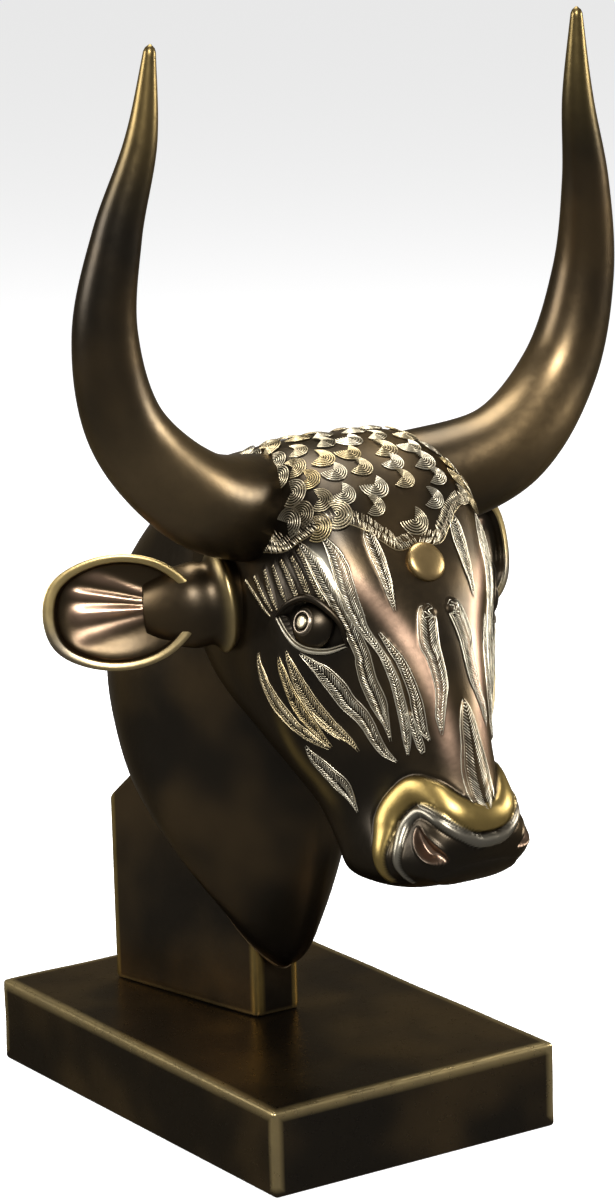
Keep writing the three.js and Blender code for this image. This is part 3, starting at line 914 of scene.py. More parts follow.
    def rub_and_highlight(self, path: tuple, half: float, name: str, amount: float, side: int) -> None:
        """Paints a soft stripe of one metal along a path, as rubbed metal; on the ridge crest and the patch between the
        forehead locks it is partly a painted highlight.
        """
        line = self.line(path, side, 60)
        rows, cols, distance, share, _ = self.near(line, half * 2)
        fade = np.clip(4 * np.minimum(share, 1 - share) + 0.15, 0, 1)
        soft = amount * np.exp(-((distance / half) ** 2) * 1.6) * fade
        mask = self.masks[name]
        mask[rows, cols] = np.maximum(mask[rows, cols], soft)

    def step(self, places: np.ndarray, vectors: np.ndarray) -> np.ndarray:
        """Places moved along the skin by short vectors in millimetres."""
        small = 0.002
        by_across = (self.point(places[:, 0] + small, places[:, 1]) - self.point(places[:, 0] - small, places[:, 1]))
        by_down = (self.point(places[:, 0], places[:, 1] + small) - self.point(places[:, 0], places[:, 1] - small))
        by_across, by_down = by_across / (2 * small), by_down / (2 * small)
        aa, dd = np.sum(by_across**2, 1), np.sum(by_down**2, 1)
        ad = np.sum(by_across * by_down, 1)
        va, vd = np.sum(vectors * by_across, 1), np.sum(vectors * by_down, 1)
        det = aa * dd - ad**2
        return places + np.column_stack([(va * dd - vd * ad) / det, (vd * aa - va * ad) / det])

    def surface(self) -> np.ndarray:
        """The skin with its relief."""
        return self.base + self.out * self.height[..., None]

    def build(self) -> bpy.types.Object:
        """Makes the head."""
        return tube_object("bull_head", self.surface(), self.masks, flip=True)


@dataclass(frozen=True)
class Lock:
    """A raised lock of hair with a thread along each rim and slanting strokes between.

    Attributes:
        rows: places with half widths, [across, down, half].
        high: how far it stands out.
        rims: whether it has threads along its rims.
        silver, gilt: how far its marks are rubbed.
        middle: lies on the middle plane and isn't mirrored.
    """

    rows: tuple
    high: float = 0.6
    rims: bool = True
    silver_and_highlight: float = 0.75
    gilt: float = 0.3
    middle: bool = False


LOCKS = (
    Lock(((0.127, 0.241, 0.3), (0.12, 0.259, 1.3), (0.118, 0.279, 2.2), (0.122, 0.302, 2.5), (0.128, 0.324, 2.5),
          (0.132, 0.347, 2.2), (0.134, 0.375, 1.3), (0.13, 0.409, 0.9), (0.13, 0.434, 1.2), (0.133, 0.462, 1.4),
          (0.139, 0.49, 1.5), (0.144, 0.518, 1.6), (0.152, 0.548, 1.3), (0.162, 0.576, 0.3)), silver_and_highlight=0.9),
    Lock(((0.118, 0.385, 0.3), (0.114, 0.412, 0.9), (0.11, 0.437, 1.2), (0.11, 0.462, 1.4), (0.111, 0.487, 1.5),
          (0.114, 0.512, 1.8), (0.117, 0.539, 1.7), (0.113, 0.563, 0.9), (0.108, 0.579, 0.3))),
    Lock(((0.134, 0.51, 0.5), (0.133, 0.533, 1.2), (0.131, 0.561, 1.2), (0.133, 0.587, 0.3))),
    Lock(((0.178, 0.232, 0.4), (0.162, 0.253, 1.6), (0.153, 0.274, 2.3), (0.149, 0.294, 2.5), (0.147, 0.318, 2.4),
          (0.148, 0.34, 2.4), (0.15, 0.363, 2.2), (0.153, 0.387, 2.2), (0.159, 0.409, 2.5), (0.166, 0.433, 2.6),
          (0.169, 0.459, 2.7), (0.173, 0.483, 2.0), (0.176, 0.506, 0.9), (0.182, 0.533, 0.3)), gilt=0.5),
    Lock(((0.239, 0.338, 0.3), (0.226, 0.364, 1.4), (0.216, 0.39, 2.6), (0.211, 0.415, 2.9), (0.21, 0.438, 2.7),
          (0.205, 0.461, 2.5), (0.203, 0.485, 2.1), (0.204, 0.51, 1.8), (0.202, 0.537, 1.4), (0.188, 0.572, 0.3))),
    Lock(((0.264, 0.319, 0.3), (0.263, 0.345, 1.4), (0.262, 0.369, 2.0), (0.259, 0.395, 2.2), (0.256, 0.421, 2.2),
          (0.252, 0.447, 1.9), (0.245, 0.474, 1.3), (0.24, 0.493, 0.7), (0.238, 0.512, 0.3)), silver_and_highlight=0.4, gilt=0.8),
    Lock(((0.265, 0.413, 0.3), (0.262, 0.438, 0.9), (0.256, 0.461, 0.7), (0.252, 0.477, 0.3)), silver_and_highlight=0.4, gilt=0.8),
    Lock(((0.285, 0.314, 0.4), (0.287, 0.335, 1.5), (0.286, 0.363, 1.9), (0.283, 0.389, 2.2), (0.279, 0.417, 1.9),
          (0.276, 0.443, 1.3), (0.274, 0.463, 0.7), (0.272, 0.477, 0.3)), silver_and_highlight=0.3, gilt=0.9),
    Lock(((0.32, 0.277, 0.4), (0.325, 0.295, 1.8), (0.327, 0.32, 2.8), (0.323, 0.348, 3.2), (0.314, 0.378, 2.8),
          (0.304, 0.41, 2.1), (0.293, 0.44, 1.4), (0.278, 0.476, 0.3)), silver_and_highlight=0.4, gilt=0.8),
    Lock(((0.311, 0.44, 0.3), (0.311, 0.474, 2.4), (0.304, 0.506, 3.0), (0.296, 0.539, 2.7), (0.293, 0.562, 1.9),
          (0.292, 0.587, 0.9), (0.293, 0.611, 0.3))),
    Lock(((0.059, 0.254, 0.4), (0.061, 0.27, 1.9), (0.062, 0.288, 2.2), (0.064, 0.308, 1.8), (0.068, 0.33, 1.4),
          (0.073, 0.346, 0.9), (0.079, 0.369, 0.3))),
    Lock(((0.021, 0.386, 1.6), (0.034, 0.396, 3.0), (0.043, 0.42, 3.1), (0.045, 0.45, 2.4), (0.046, 0.471, 2.2),
          (0.049, 0.494, 2.0), (0.058, 0.517, 1.6), (0.069, 0.541, 1.4), (0.073, 0.56, 0.9), (0.076, 0.58, 0.2)),
         silver_and_highlight=0.9),
    Lock(((0, 0.53, 0.3), (0, 0.555, 1.9), (0, 0.583, 2.8), (0, 0.615, 3.3), (0, 0.652, 4.1), (0, 0.688, 4.5),
          (0, 0.728, 4.4), (0, 0.765, 3.7)), middle=True),
)

STRANDS = tuple(Lock(rows, 0.3, False, 0.45, 0.75) for rows in (
    ((0.302, 0.197, 0.8), (0.297, 0.221, 1.0), (0.289, 0.244, 0.9), (0.275, 0.268, 0.4)),
    ((0.285, 0.208, 0.8), (0.281, 0.235, 1.2), (0.27, 0.262, 0.5)),
    ((0.263, 0.217, 0.9), (0.263, 0.242, 1.3), (0.257, 0.268, 0.5)),
    ((0.245, 0.224, 0.9), (0.240, 0.248, 1.3), (0.233, 0.272, 0.5)),
    ((0.227, 0.229, 1.0), (0.215, 0.257, 1.4), (0.207, 0.279, 1.0), (0.206, 0.290, 0.4)),
    ((0.204, 0.237, 1.0), (0.189, 0.267, 1.5), (0.183, 0.290, 1.1), (0.182, 0.308, 0.4)),
    ((0.186, 0.236, 0.9), (0.172, 0.262, 1.3), (0.166, 0.292, 1.1), (0.165, 0.318, 0.4)),
))

CAP_EDGE = ((0.0, 0.287), (0.032, 0.29), (0.049, 0.273), (0.068, 0.251), (0.088, 0.24), (0.123, 0.236),
            (0.174, 0.231), (0.218, 0.224), (0.25, 0.202), (0.272, 0.176), (0.302, 0.152))
UPPER_LID = ((0.262, 0.275), (0.221, 0.279), (0.179, 0.296), (0.158, 0.342), (0.167, 0.375))
LOWER_LID = ((0.262, 0.275), (0.238, 0.329), (0.2, 0.362), (0.167, 0.375))
# The face's ridge crest, where a copper stripe is partly rubbed copper and partly a painted highlight.
RIDGE_COPPER_AND_HIGHLIGHT = ((0.112, 0.29), (0.092, 0.37), (0.076, 0.44), (0.068, 0.5), (0.063, 0.58), (0.055, 0.68))


@dataclass
class Hair:
    """The engraved hair: threads, strokes and curls laid on the finished head.

    Attributes:
        head: the head whose skin carries the hair.
        spacing: distance between strokes along a lock.
        seed: the fixed seed of the wear and the turns.
    """

    head: Head
    spacing: float = 0.85
    seed: int = 11

    def __post_init__(self) -> None:
        """Starts with no marks."""
        self.random = np.random.default_rng(self.seed)
        self.skin = self.head.surface()
        self.threads: list = []
        self.strokes: list = []
        self.curls: list = []

    def thread(self, places: np.ndarray, half: float, silver_and_highlight: float, gilt: float, lift: float = 0.08) -> None:
        """Lays a tapered thread along places."""
        spots = self.head.point(places[:, 0], places[:, 1], self.skin)
        outs = self.head.point(places[:, 0], places[:, 1], self.head.out)
        share = np.linspace(0, 1, len(places))
        taper = half * np.clip(np.minimum(share, 1 - share) * 8 + 0.3, 0, 1)
        self.threads.append((spots + outs * lift, taper, silver_and_highlight, gilt))

    def stroke_row(self, places: np.ndarray, ways: np.ndarray, length: np.ndarray, half: float, silver_and_highlight: float,
                   gilt: float) -> None:
        """Lays strokes that start at places and run along ways."""
        outs = unit(self.head.point(places[:, 0], places[:, 1], self.head.out))
        ways = unit(ways - outs * np.sum(ways * outs, 1, keepdims=True))
        ends = self.head.step(places, ways * length[:, None])
        start = self.head.point(places[:, 0], places[:, 1], self.skin)
        stop = self.head.point(ends[:, 0], ends[:, 1], self.skin)
        along = unit(stop - start)
        count = len(places)
        wear = np.clip(self.random.normal(1, 0.35, count), 0.1, 1.5)
        size = np.column_stack([np.full(count, half * 1.15), np.full(count, half), np.linalg.norm(stop - start, axis=1) / 2])
        size[:, :2] *= self.random.uniform(0.8, 1.2, (count, 1))
        self.strokes.append(((start + stop) / 2 + outs * 0.06, along, outs, size, silver_and_highlight * wear, gilt * wear))

    def lay_lock(self, lock: Lock, side: int) -> None:
        """Lays one lock's threads and strokes on one side."""
        rows = np.array(lock.rows, float) * [side, 1, 1]
        path = catmull_rom(rows, np.linspace(0, 1, 220))
        spots = self.head.point(path[:, 0], path[:, 1])
        length = np.concatenate([[0], np.cumsum(np.linalg.norm(np.diff(spots, axis=0), axis=1))])
        count = max(6, int(length[-1] / self.spacing))
        pick = np.interp(np.linspace(0, length[-1], count), length, np.arange(len(path)))
        picked = np.stack([np.interp(pick, np.arange(len(path)), path[:, k]) for k in range(3)], axis=1)
        places, half = picked[:, :2], np.maximum(picked[:, 2:], 0.12)
        centre = self.head.point(places[:, 0], places[:, 1])
        outs = self.head.point(places[:, 0], places[:, 1], self.head.out)
        ahead = unit(np.gradient(centre, axis=0))
        aside = unit(np.cross(outs, ahead))
        for hand in (-1, 1):
            rim = self.head.step(places, aside * half * hand)
            if lock.rims:
                self.thread(rim, 0.21, lock.silver_and_highlight, lock.gilt, 0.1)
                if half.max() > 2.0:
                    inner = self.head.step(places, aside * half * hand * 0.78)
                    self.thread(inner[2:-2], 0.13, 0.6 * lock.silver_and_highlight, lock.gilt)
            wide = half[:, 0] > 0.45
            base = self.head.step(places, aside * half * hand * 0.72)[wide]
            way = (ahead * 1.15 - aside * hand)[wide]
            self.stroke_row(base, way, (half[:, 0] * 0.95 + 0.3)[wide], 0.20, lock.silver_and_highlight, lock.gilt)

    def fringe(self, side: int) -> None:
        """Lays the short strokes that stand on the cap's edge, and those round the horn's root."""
        edge = catmull_rom(np.array([[a * side, d, 0] for a, d in CAP_EDGE], float), np.linspace(0, 1, 300))[:, :2]
        spots = self.head.point(edge[:, 0], edge[:, 1])
        length = np.concatenate([[0], np.cumsum(np.linalg.norm(np.diff(spots, axis=0), axis=1))])
        for row, (back, reach, step) in enumerate(((2.2, 2.4, 0.62), (4.4, 2.5, 0.66), (6.8, 2.6, 0.7), (9.2, 2.7, 0.75))):
            pick = np.interp(np.arange(0.3 * row, length[-1], step), length, np.arange(len(edge)))
            places = np.stack([np.interp(pick, np.arange(len(edge)), edge[:, k]) for k in range(2)], axis=1)
            if row > 1:
                places = places[np.abs(places[:, 0]) > 0.18]
            centre = self.head.point(places[:, 0], places[:, 1])
            outs = self.head.point(places[:, 0], places[:, 1], self.head.out)
            ahead = unit(np.gradient(centre, axis=0))
            up = unit(np.cross(ahead, outs)) * side
            up = up * np.where(self.head.step(places, up)[:, 1:] < places[:, 1:], 1, -1)
            jitter = self.random.uniform(-0.25, 0.25, (len(places), 1))
            base = self.head.step(places, up * (back + jitter) + ahead * 0.4 * back)
            self.stroke_row(base, -up - ahead * (0.35 + jitter), np.full(len(places), reach), 0.19, 0.5, 0.5)
        self.thread(edge[::3], 0.2, 0.25, 0.5)

    def lay_curls(self) -> None:
        """Lays the curls of the poll in staggered rows, each lifted a little off the skin."""
        for row, (down, reach) in enumerate(((0.232, 0.16), (0.203, 0.19), (0.173, 0.165), (0.144, 0.15), (0.115, 0.15),
                                             (0.086, 0.15), (0.057, 0.15))):
            pitch = 0.041
            count = int(2 * reach / pitch) + (row % 2)
            for k in range(count):
                across = (k - (count - 1) / 2) * pitch + self.random.uniform(-0.006, 0.006)
                place = np.array([[across, down + self.random.uniform(-0.004, 0.004)]])
                if row == 0 and abs(across) < 0.035:
                    place[0, 1] += 0.025
                radius = self.random.uniform(3.7, 5.0)
                out = unit(self.head.point(place[:, 0], place[:, 1], self.head.out))[0]
                spot = self.head.point(place[:, 0], place[:, 1], self.skin)[0]
                turn = self.random.uniform(-0.5, 0.5) - 0.75
                level = unit(np.cross(out, [0, 1, 0]))
                level = level if level[0] > 0 else -level
                down_way = np.cross(level, out)
                down_way = down_way if down_way[1] < 0 or down_way[2] < 0 else -down_way
                along = level * math.cos(turn) - down_way * math.sin(turn)
                wear = self.random.uniform(0.2, 1.0)
                self.curls.append((spot + out * 0.75, out, along, radius, wear, self.random.uniform(0.2, 1.0)))

    def build(self, material: bpy.types.Material) -> list:
        """Makes the three kinds of marks.

        Args:
            material: their finish.

        Returns:
            The pieces.
        """
        points, edges, half, silver_and_highlight, gilt = [], [], [], [], []
        start = 0
        for spots, taper, bright, gold in self.threads:
            points.append(spots)
            half.append(taper * MM)
            silver_and_highlight.append(np.full(len(spots), bright))
            gilt.append(np.full(len(spots), gold))
            edges += [(start + k, start + k + 1) for k in range(len(spots) - 1)]
            start += len(spots)
        fields = {"half": np.concatenate(half), "silver_and_highlight": np.concatenate(silver_and_highlight), "gilt": np.concatenate(gilt)}
        pieces = [woven("hair_threads", np.concatenate(points), edges, fields, thread_tree(), material)]
        spots, along, out, size, silver_and_highlight, gilt = (np.concatenate([row[k] for row in self.strokes]) for k in range(6))
        fields = {"along": along, "out": out, "size": size * MM, "silver_and_highlight": silver_and_highlight, "gilt": gilt}
        pieces.append(woven("hair_strokes", spots, [], fields, stroke_tree(), material))
        spots = np.array([curl[0] for curl in self.curls])
        fields = {"out": np.array([c[1] for c in self.curls]), "along": np.array([c[2] for c in self.curls]),
                  "size": np.array([[c[3]] * 3 for c in self.curls]) * MM,
                  "silver_and_highlight": np.array([0.75 * c[4] for c in self.curls]), "gilt": np.array([0.9 * c[5] for c in self.curls])}
        pieces.append(woven("poll_curls", spots, [], fields, curl_tree(), material))
        return pieces


@dataclass
class Eye:
    """One eye: a ball with a flat iris, the heavy upper lid and the double lower lid.

    Attributes:
        side: which eye.
        place: its centre on the skin.
        gaze: the iris's centre on the skin.
        radius: the ball's radius.
        sunk: how far the ball's centre lies behind the skin.
    """

    side: Side
    place: tuple = (0.204, 0.325)
    gaze: tuple = (0.212, 0.309)
    radius: float = 8.0
    sunk: float = 6.2

    def build(self, head: Head) -> list:
        """Makes the ball and the lids on a head."""
        sign = self.side.value
        spot = head.point(np.array([self.place[0] * sign]), np.array([self.place[1]]))[0]
        out = unit(head.point(np.array([self.place[0] * sign]), np.array([self.place[1]]), head.out))[0]
        centre = spot - out * self.sunk
        look = head.point(np.array([self.gaze[0] * sign]), np.array([self.gaze[1]]))[0]
        axis = unit(look - centre)
        profile = np.array([(0.0, -0.25), (1.0, -0.25), (1.9, -0.3), (2.2, -0.75), (2.7, -0.8), (2.95, -0.1), (3.4, 0.1),
                            (3.8, -0.15), (4.4, 0.0), (5.2, 0.0), (6.2, 0.0), (7.2, 0.0), (7.9, 0.0)])
        fine = catmull_rom(np.column_stack([profile, 0 * profile[:, 0]]), np.linspace(0, 1, 60))
        radial = np.clip(fine[:, 0], 0.02, self.radius - 0.02)
        ahead = np.sqrt(self.radius**2 - radial**2) + fine[:, 1]
        one = unit(np.cross(axis, [0, 0, 1]))
        two = np.cross(axis, one)
        angle = np.linspace(0, 2 * np.pi, 64, endpoint=False)
        ring = one * np.cos(angle)[:, None] + two * np.sin(angle)[:, None]
        rings = centre + axis * ahead[:, None, None] + ring[None] * radial[:, None, None]
        flat = np.ones((1, 64))
        iris = (1 - smooth_step(radial, 1.9, 2.2))[:, None] * flat
        groove = np.exp(-((radial - 2.45) / 0.35) ** 2)[:, None] * flat
        rim = np.exp(-((radial - 3.35) / 0.3) ** 2)[:, None] * flat
        masks = {"gilt": 0.35 * iris, "copper_and_highlight": 0.35 * rim, "silver_and_highlight": 0.35 * iris + 0.35 * rim, "shade": 0.9 * groove}
        name = self.side.name.lower()
        return [tube_object(f"eye_{name}", rings, masks, flip=True), *self._lids(head, sign, name)]

    @staticmethod
    def _lids(head: Head, sign: int, name: str) -> list:
        """Makes the lids as tapered rolls along the edge of the almond."""
        made = []
        for part, path, half, lift, silver_and_highlight, shade in (
            ("upper_lid", UPPER_LID, 1.25, 0.35, 0.0, 0.35), ("lower_lid", LOWER_LID, 0.62, 0.35, 0.7, 0.0),
            ("lower_lid_edge", LOWER_LID, 0.42, -0.55, 0.45, 0.0),
        ):
            line = head.line(path, sign, 70)
            spots = head.point(line[:, 0], line[:, 1])
            outs = head.point(line[:, 0], line[:, 1], head.out)
            middle = spots.mean(0)
            spots = spots + outs * lift
            if part == "lower_lid_edge":
                spots = spots + unit(head.point(np.array([0.205 * sign]), np.array([0.318]))[0] - middle) * 0.8
            share = np.linspace(0, 1, len(spots))
            taper = half * np.clip(np.sin(np.pi * share) ** 0.5, 0.3, 1)
            rings = sweep(spots, outs, np.column_stack([taper, taper]), 12)
            full = np.ones(rings.shape[:2])
            masks = {"gilt": 0.25 * full * (silver_and_highlight > 0), "copper_and_highlight": 0 * full, "silver_and_highlight": silver_and_highlight * full, "shade": shade * full}
            made.append(tube_object(f"{part}_{name}", rings, masks, flip=sign < 0))
        return made


@dataclass
class Disc:
    """The smooth round boss on the forehead."""

    radius: float = 6.3
    high: float = 2.4
    place: tuple = (0.0, 0.313)

    def build(self, head: Head) -> bpy.types.Object:
        """Makes the boss on a head."""
        spot = head.point(np.array([self.place[0]]), np.array([self.place[1]]))[0]
        axis = unit(head.point(np.array([self.place[0]]), np.array([self.place[1]]), head.out))[0]
        one = unit(np.cross(axis, [1, 0, 0]))
        two = np.cross(axis, one)
        angle = np.linspace(0, 2 * np.pi, 72, endpoint=False)
        ring = one * np.cos(angle)[:, None] + two * np.sin(angle)[:, None]
        turn = np.linspace(0.02, np.pi / 2, 22)
        radial = np.concatenate([self.radius * np.sin(turn) ** 0.8, [self.radius, self.radius]])
        ahead = np.concatenate([self.high * np.cos(turn) ** 0.7, [-0.8, -2.0]])
        rings = spot + axis * ahead[:, None, None] + ring[None] * radial[:, None, None]
        full = np.ones(rings.shape[:2])
        masks = {"gilt": 0.5 * full, "copper_and_highlight": 0.15 * full, "silver_and_highlight": 0 * full, "shade": 0 * full}
        return tube_object("forehead_disc", rings, masks, flip=True)


@dataclass
class Neck:
    """The thick neck that ends below in a pointed bib.

    Attributes:
        step: size of the mesh's squares.
        lip: radius of the bib's lower edge.
    """

    step: float = 1.7
    lip: float = 1.2
    skin: Skin = field(default_factory=lambda: Skin(NECK_SECTIONS))

    def __post_init__(self) -> None:
        """Lays out the grid, with the lower edge rolled in."""
        shares = np.linspace(0, 1, 401)
        girth = self.skin.surface(shares, np.array([0.5]))[0]
        self.across = even_shares(girth, shares, np.full(len(shares), self.step))[:-1]
        length = self.skin.surface(np.array([0.25]), shares)[:, 0]
        self.down = even_shares(length, shares, np.full(len(shares), self.step))
        grid = self.skin.surface(self.across, self.down)
        centre = grid[0].mean(0)
        under = unit(grid[0].mean(0) - grid[4].mean(0))
        rolled = []
        for angle in np.linspace(np.pi / 2, 0, 5)[:-1]:
            inward = grid[0] - unit(grid[0] - centre) * self.lip * (1 - math.cos(angle))
            rolled.append(inward + under * self.lip * math.sin(angle))
        inner = [centre + (rolled[0] - centre) * share for share in (0.3, 0.6, 0.85)]
        self.grid = np.concatenate([inner, rolled, grid])
        self.out = Head._normals(self.grid)

    def build(self) -> bpy.types.Object:
        """Makes the neck."""
        rows = np.arange(len(self.grid))[:, None] * np.ones((1, self.grid.shape[1]))
        edge = np.exp(-((rows - 6) / 1.6) ** 2)
        zero = np.zeros_like(edge)
        masks = {"gilt": 0.35 * edge, "copper_and_highlight": 0.3 * edge, "silver_and_highlight": zero, "shade": zero}
        return tube_object("bull_neck", self.grid, masks, flip=True)


def fillet(grid: np.ndarray, out: np.ndarray, other: BVHTree, radius: float) -> np.ndarray:
    """How far each point of a skin rises so that it meets another skin in a soft hollow.

    Args:
        grid: the skin's points in millimetres.
        out: its outward directions; not used.
        other: the other skin.
        radius: reach of the hollow.

    Returns:
        The rise at each point.
    """
    rise = np.zeros(grid.shape[:2])
    for row, col in np.ndindex(rise.shape):
        place = Vector(grid[row, col] * MM)
        found, normal, _, distance = other.find_nearest(place, radius * MM)
        if found is None:
            continue
        away = distance / MM
        inside = (place - found).dot(normal) < 0
        if inside:
            rise[row, col] = 0.25 * radius
        elif away < 0.25 * radius:
            rise[row, col] = 0.25 * radius
        else:
            rise[row, col] = (math.sqrt(radius) - math.sqrt(away)) ** 2
    return rise


# Horns and ears


@dataclass
class Horn:
    """One tall lyre-shaped horn, a smooth round taper.

    Attributes:
        line: the left horn's centre line with the radius at each point.
        around, steps: mesh counts.
    """

    side: Side
    line: tuple = (
        (14, -44, 203.5, 16), (26.4, -45, 204.2, 16.5), (56.5, -54.8, 213.3, 14.5), (78.6, -54.9, 235.6, 12),
        (86.6, -57.4, 265.1, 9.7), (84.3, -62.3, 294.3, 7.3), (78.1, -67.1, 321.4, 4.8), (75.7, -70.2, 349.2, 1.6),
    )
    around: int = 56
    steps: int = 190

    def build(self) -> bpy.types.Object:
        """Makes the horn."""
        data = np.array(self.line, float)
        shares = np.linspace(0, 1, self.steps)
        spots = catmull_rom(data[:, :3], shares) * [self.side.value, 1, 1]
        radii = catmull_rom(np.column_stack([data[:, 3], data[:, 3] * 0, data[:, 3] * 0]), shares)[:, 0]
        rounding = np.sqrt(np.clip((1 - shares) / 0.008, 0, 1))
        radii = radii * np.where(shares > 0.992, np.maximum(rounding, 0.15), 1)
        outs = np.tile([0.0, -1.0, 0.0], (self.steps, 1))
        rings = sweep(spots, outs, np.column_stack([radii, radii]), self.around)
        tip = smooth_step(shares, 0.72, 1.0)[:, None] * np.ones((1, self.around))
        clouds = np.exp(-((shares - 0.36) / 0.10) ** 2)[:, None] * np.ones((1, self.around))
        masks = {"gilt": 0.30 * tip + 0.16 * clouds, "copper_and_highlight": 0.10 * clouds, "silver_and_highlight": 0 * tip, "shade": 0 * tip}
        return tube_object(f"horn_{self.side.name.lower()}", rings, masks, flip=self.side is Side.LEFT)


@dataclass
class Ear:
    """A cupped ear with a broad flat rim, ribs in its hollow and a stalk into the head.

    Attributes:
        corner: where the rims meet, on the left ear.
        tip: its far end.
        faces: the way that the hollow looks.
        half_height: half its height.
        depth: how far its back stands behind the rim.
        hollow: how deep the hollow is.
        stalk_root: where the stalk starts inside the head.
        stalk_half: half the stalk's height.
    """

    side: Side
    corner: tuple = (47, -42, 176.5)
    tip: tuple = (87, -15, 173.5)
    faces: tuple = (0.6, -0.78, 0.16)
    half_height: float = 18.5
    depth: float = 13.0
    hollow: float = 6.5
    stalk_root: tuple = (30, -38, 176)
    stalk_half: float = 14.5
    around: int = 120

    def _frame(self) -> tuple:
        """The corner and the directions along, up and out of the hollow, with the ear's length."""
        mirror = np.array([self.side.value, 1, 1])
        corner, tip = np.array(self.corner) * mirror, np.array(self.tip) * mirror
        length = float(np.linalg.norm(tip - corner))
        along = unit(tip - corner)
        faces = np.array(self.faces) * mirror
        faces = unit(faces - along * faces.dot(along))
        up = unit(np.cross(along, faces)) * self.side.value
        return corner, along, up, faces, length

    def _outline(self, length: float) -> np.ndarray:
        """The rim's outer edge as [reach, height], shape (around, 2)."""
        angle = np.linspace(0, 2 * np.pi, self.around, endpoint=False)
        reach = (1 - np.cos(angle)) / 2
        swell = np.sin(angle) * (0.9 + 0.1 * reach) * (1 - 0.25 * np.cos(angle) ** 5)
        return np.column_stack([length * reach, self.half_height * swell])

    def _ribs(self, reach: np.ndarray, height: np.ndarray, length: float) -> np.ndarray:
        """Height of the ribs that fan out of the corner over the hollow's floor."""
        from_corner = np.hypot(reach - 0.14 * length, height)
        angle = np.arctan2(height, reach - 0.14 * length)
        grow = smooth_step(from_corner, 0, 0.3 * length) * (1 - smooth_step(reach, 0.74 * length, 0.88 * length))
        ribs = 1.5 * np.exp(-((angle + 0.01) / 0.085) ** 2) + 1.2 * np.exp(-((angle + 0.21) / 0.05) ** 2)
        ribs += 0.7 * np.exp(-((angle + 0.42) / 0.07) ** 2) + 0.5 * np.exp(-((angle - 0.22) / 0.09) ** 2)
        return ribs * grow

    def build_cup(self) -> bpy.types.Object:
        """Makes the cup."""
        corner, along, up, faces, length = self._frame()
        outline = self._outline(length)
        controls = np.array([
            (0.02, self.depth, 0.6), (0.35, self.depth, 0.6), (0.65, 0.86 * self.depth, 0.5), (0.88, 0.5 * self.depth, 0.3),
            (0.975, 1.6, 0.04), (1.0, 0.6, 0), (0.99, -0.1, 0), (0.95, -0.25, 0), (0.885, 0.0, 0), (0.865, 0.35, 0.03),
            (0.85, 1.6, 0.1), (0.80, 0.62 * self.hollow, 0.25), (0.6, 0.86 * self.hollow, 0.4), (0.3, self.hollow, 0.5),
            (0.02, self.hollow, 0.55),
        ])
        profile = catmull_rom(controls, np.linspace(0, 1, 92))
        rings, masks = [], {name: [] for name in ("gilt", "copper_and_highlight", "silver_and_highlight", "shade")}
        lower = smooth_step(-outline[:, 1] / self.half_height, -0.55, 0.35)
        near = 1 - smooth_step(outline[:, 0] / length, 0.55, 0.95)
        for order, (share, deep, towards) in enumerate(profile):
            centre = length * (0.5 - 0.22 * towards)
            reach = centre + (outline[:, 0] - centre) * share
            height = outline[:, 1] * share
            rib = self._ribs(reach, height, length) if order > 62 else 0 * reach
            fade = smooth_step(np.full(self.around, 1 - share), 0.12, 0.3)
            spot = corner + along * reach[:, None] + up * height[:, None] - faces * (deep - rib * fade)[:, None]
            rings.append(spot)
            on_rim = 1.0 if 0.86 < share and 26 < order < 62 and deep < 1.5 else 0.0
            masks["gilt"].append(on_rim * np.maximum(lower, 0.5 * near) * 0.95)
            masks["copper_and_highlight"].append(np.clip(rib * fade * 0.75, 0, 1))
            masks["silver_and_highlight"].append(on_rim * 0.12 * np.ones(self.around))
            masks["shade"].append((0.35 if order > 66 else 0.0) * (1 - np.clip(rib * fade, 0, 1)))
        name = f"ear_{self.side.name.lower()}"
        stacked = {key: np.array(value) for key, value in masks.items()}
        return tube_object(name, np.array(rings), stacked, flip=self.side is Side.RIGHT)

    def build_stalk(self) -> bpy.types.Object:
        """Makes the stalk that carries the cup, with the raised collar at its head end."""
        corner, along, up, faces, length = self._frame()
        root = np.array(self.stalk_root) * [self.side.value, 1, 1]
        line = np.array([root, corner - faces * 0.6 * self.depth, corner + along * 0.36 * length - faces * 0.75 * self.depth])
        shares = np.linspace(0, 1, 60)
        spots = catmull_rom(line, shares)
        half = self.stalk_half * (1 - 0.4 * shares**3)
        collar = 1.6 * np.exp(-((shares - 0.32) / 0.05) ** 2)
        waist = -1.2 * np.exp(-((shares - 0.46) / 0.09) ** 2)
        size = np.column_stack([half * 0.75 + collar + waist, half + collar + waist])
        rings = sweep(spots, np.tile(up, (len(spots), 1)), size, 64)
        band = np.exp(-((shares - 0.32) / 0.045) ** 2)[:, None] * np.ones((1, 64))
        masks = {"gilt": 0.6 * band, "copper_and_highlight": 0 * band, "silver_and_highlight": 0.1 * band, "shade": 0 * band}
        name = f"ear_stalk_{self.side.name.lower()}"
        return tube_object(name, rings, masks, flip=self.side is Side.LEFT)


# The room


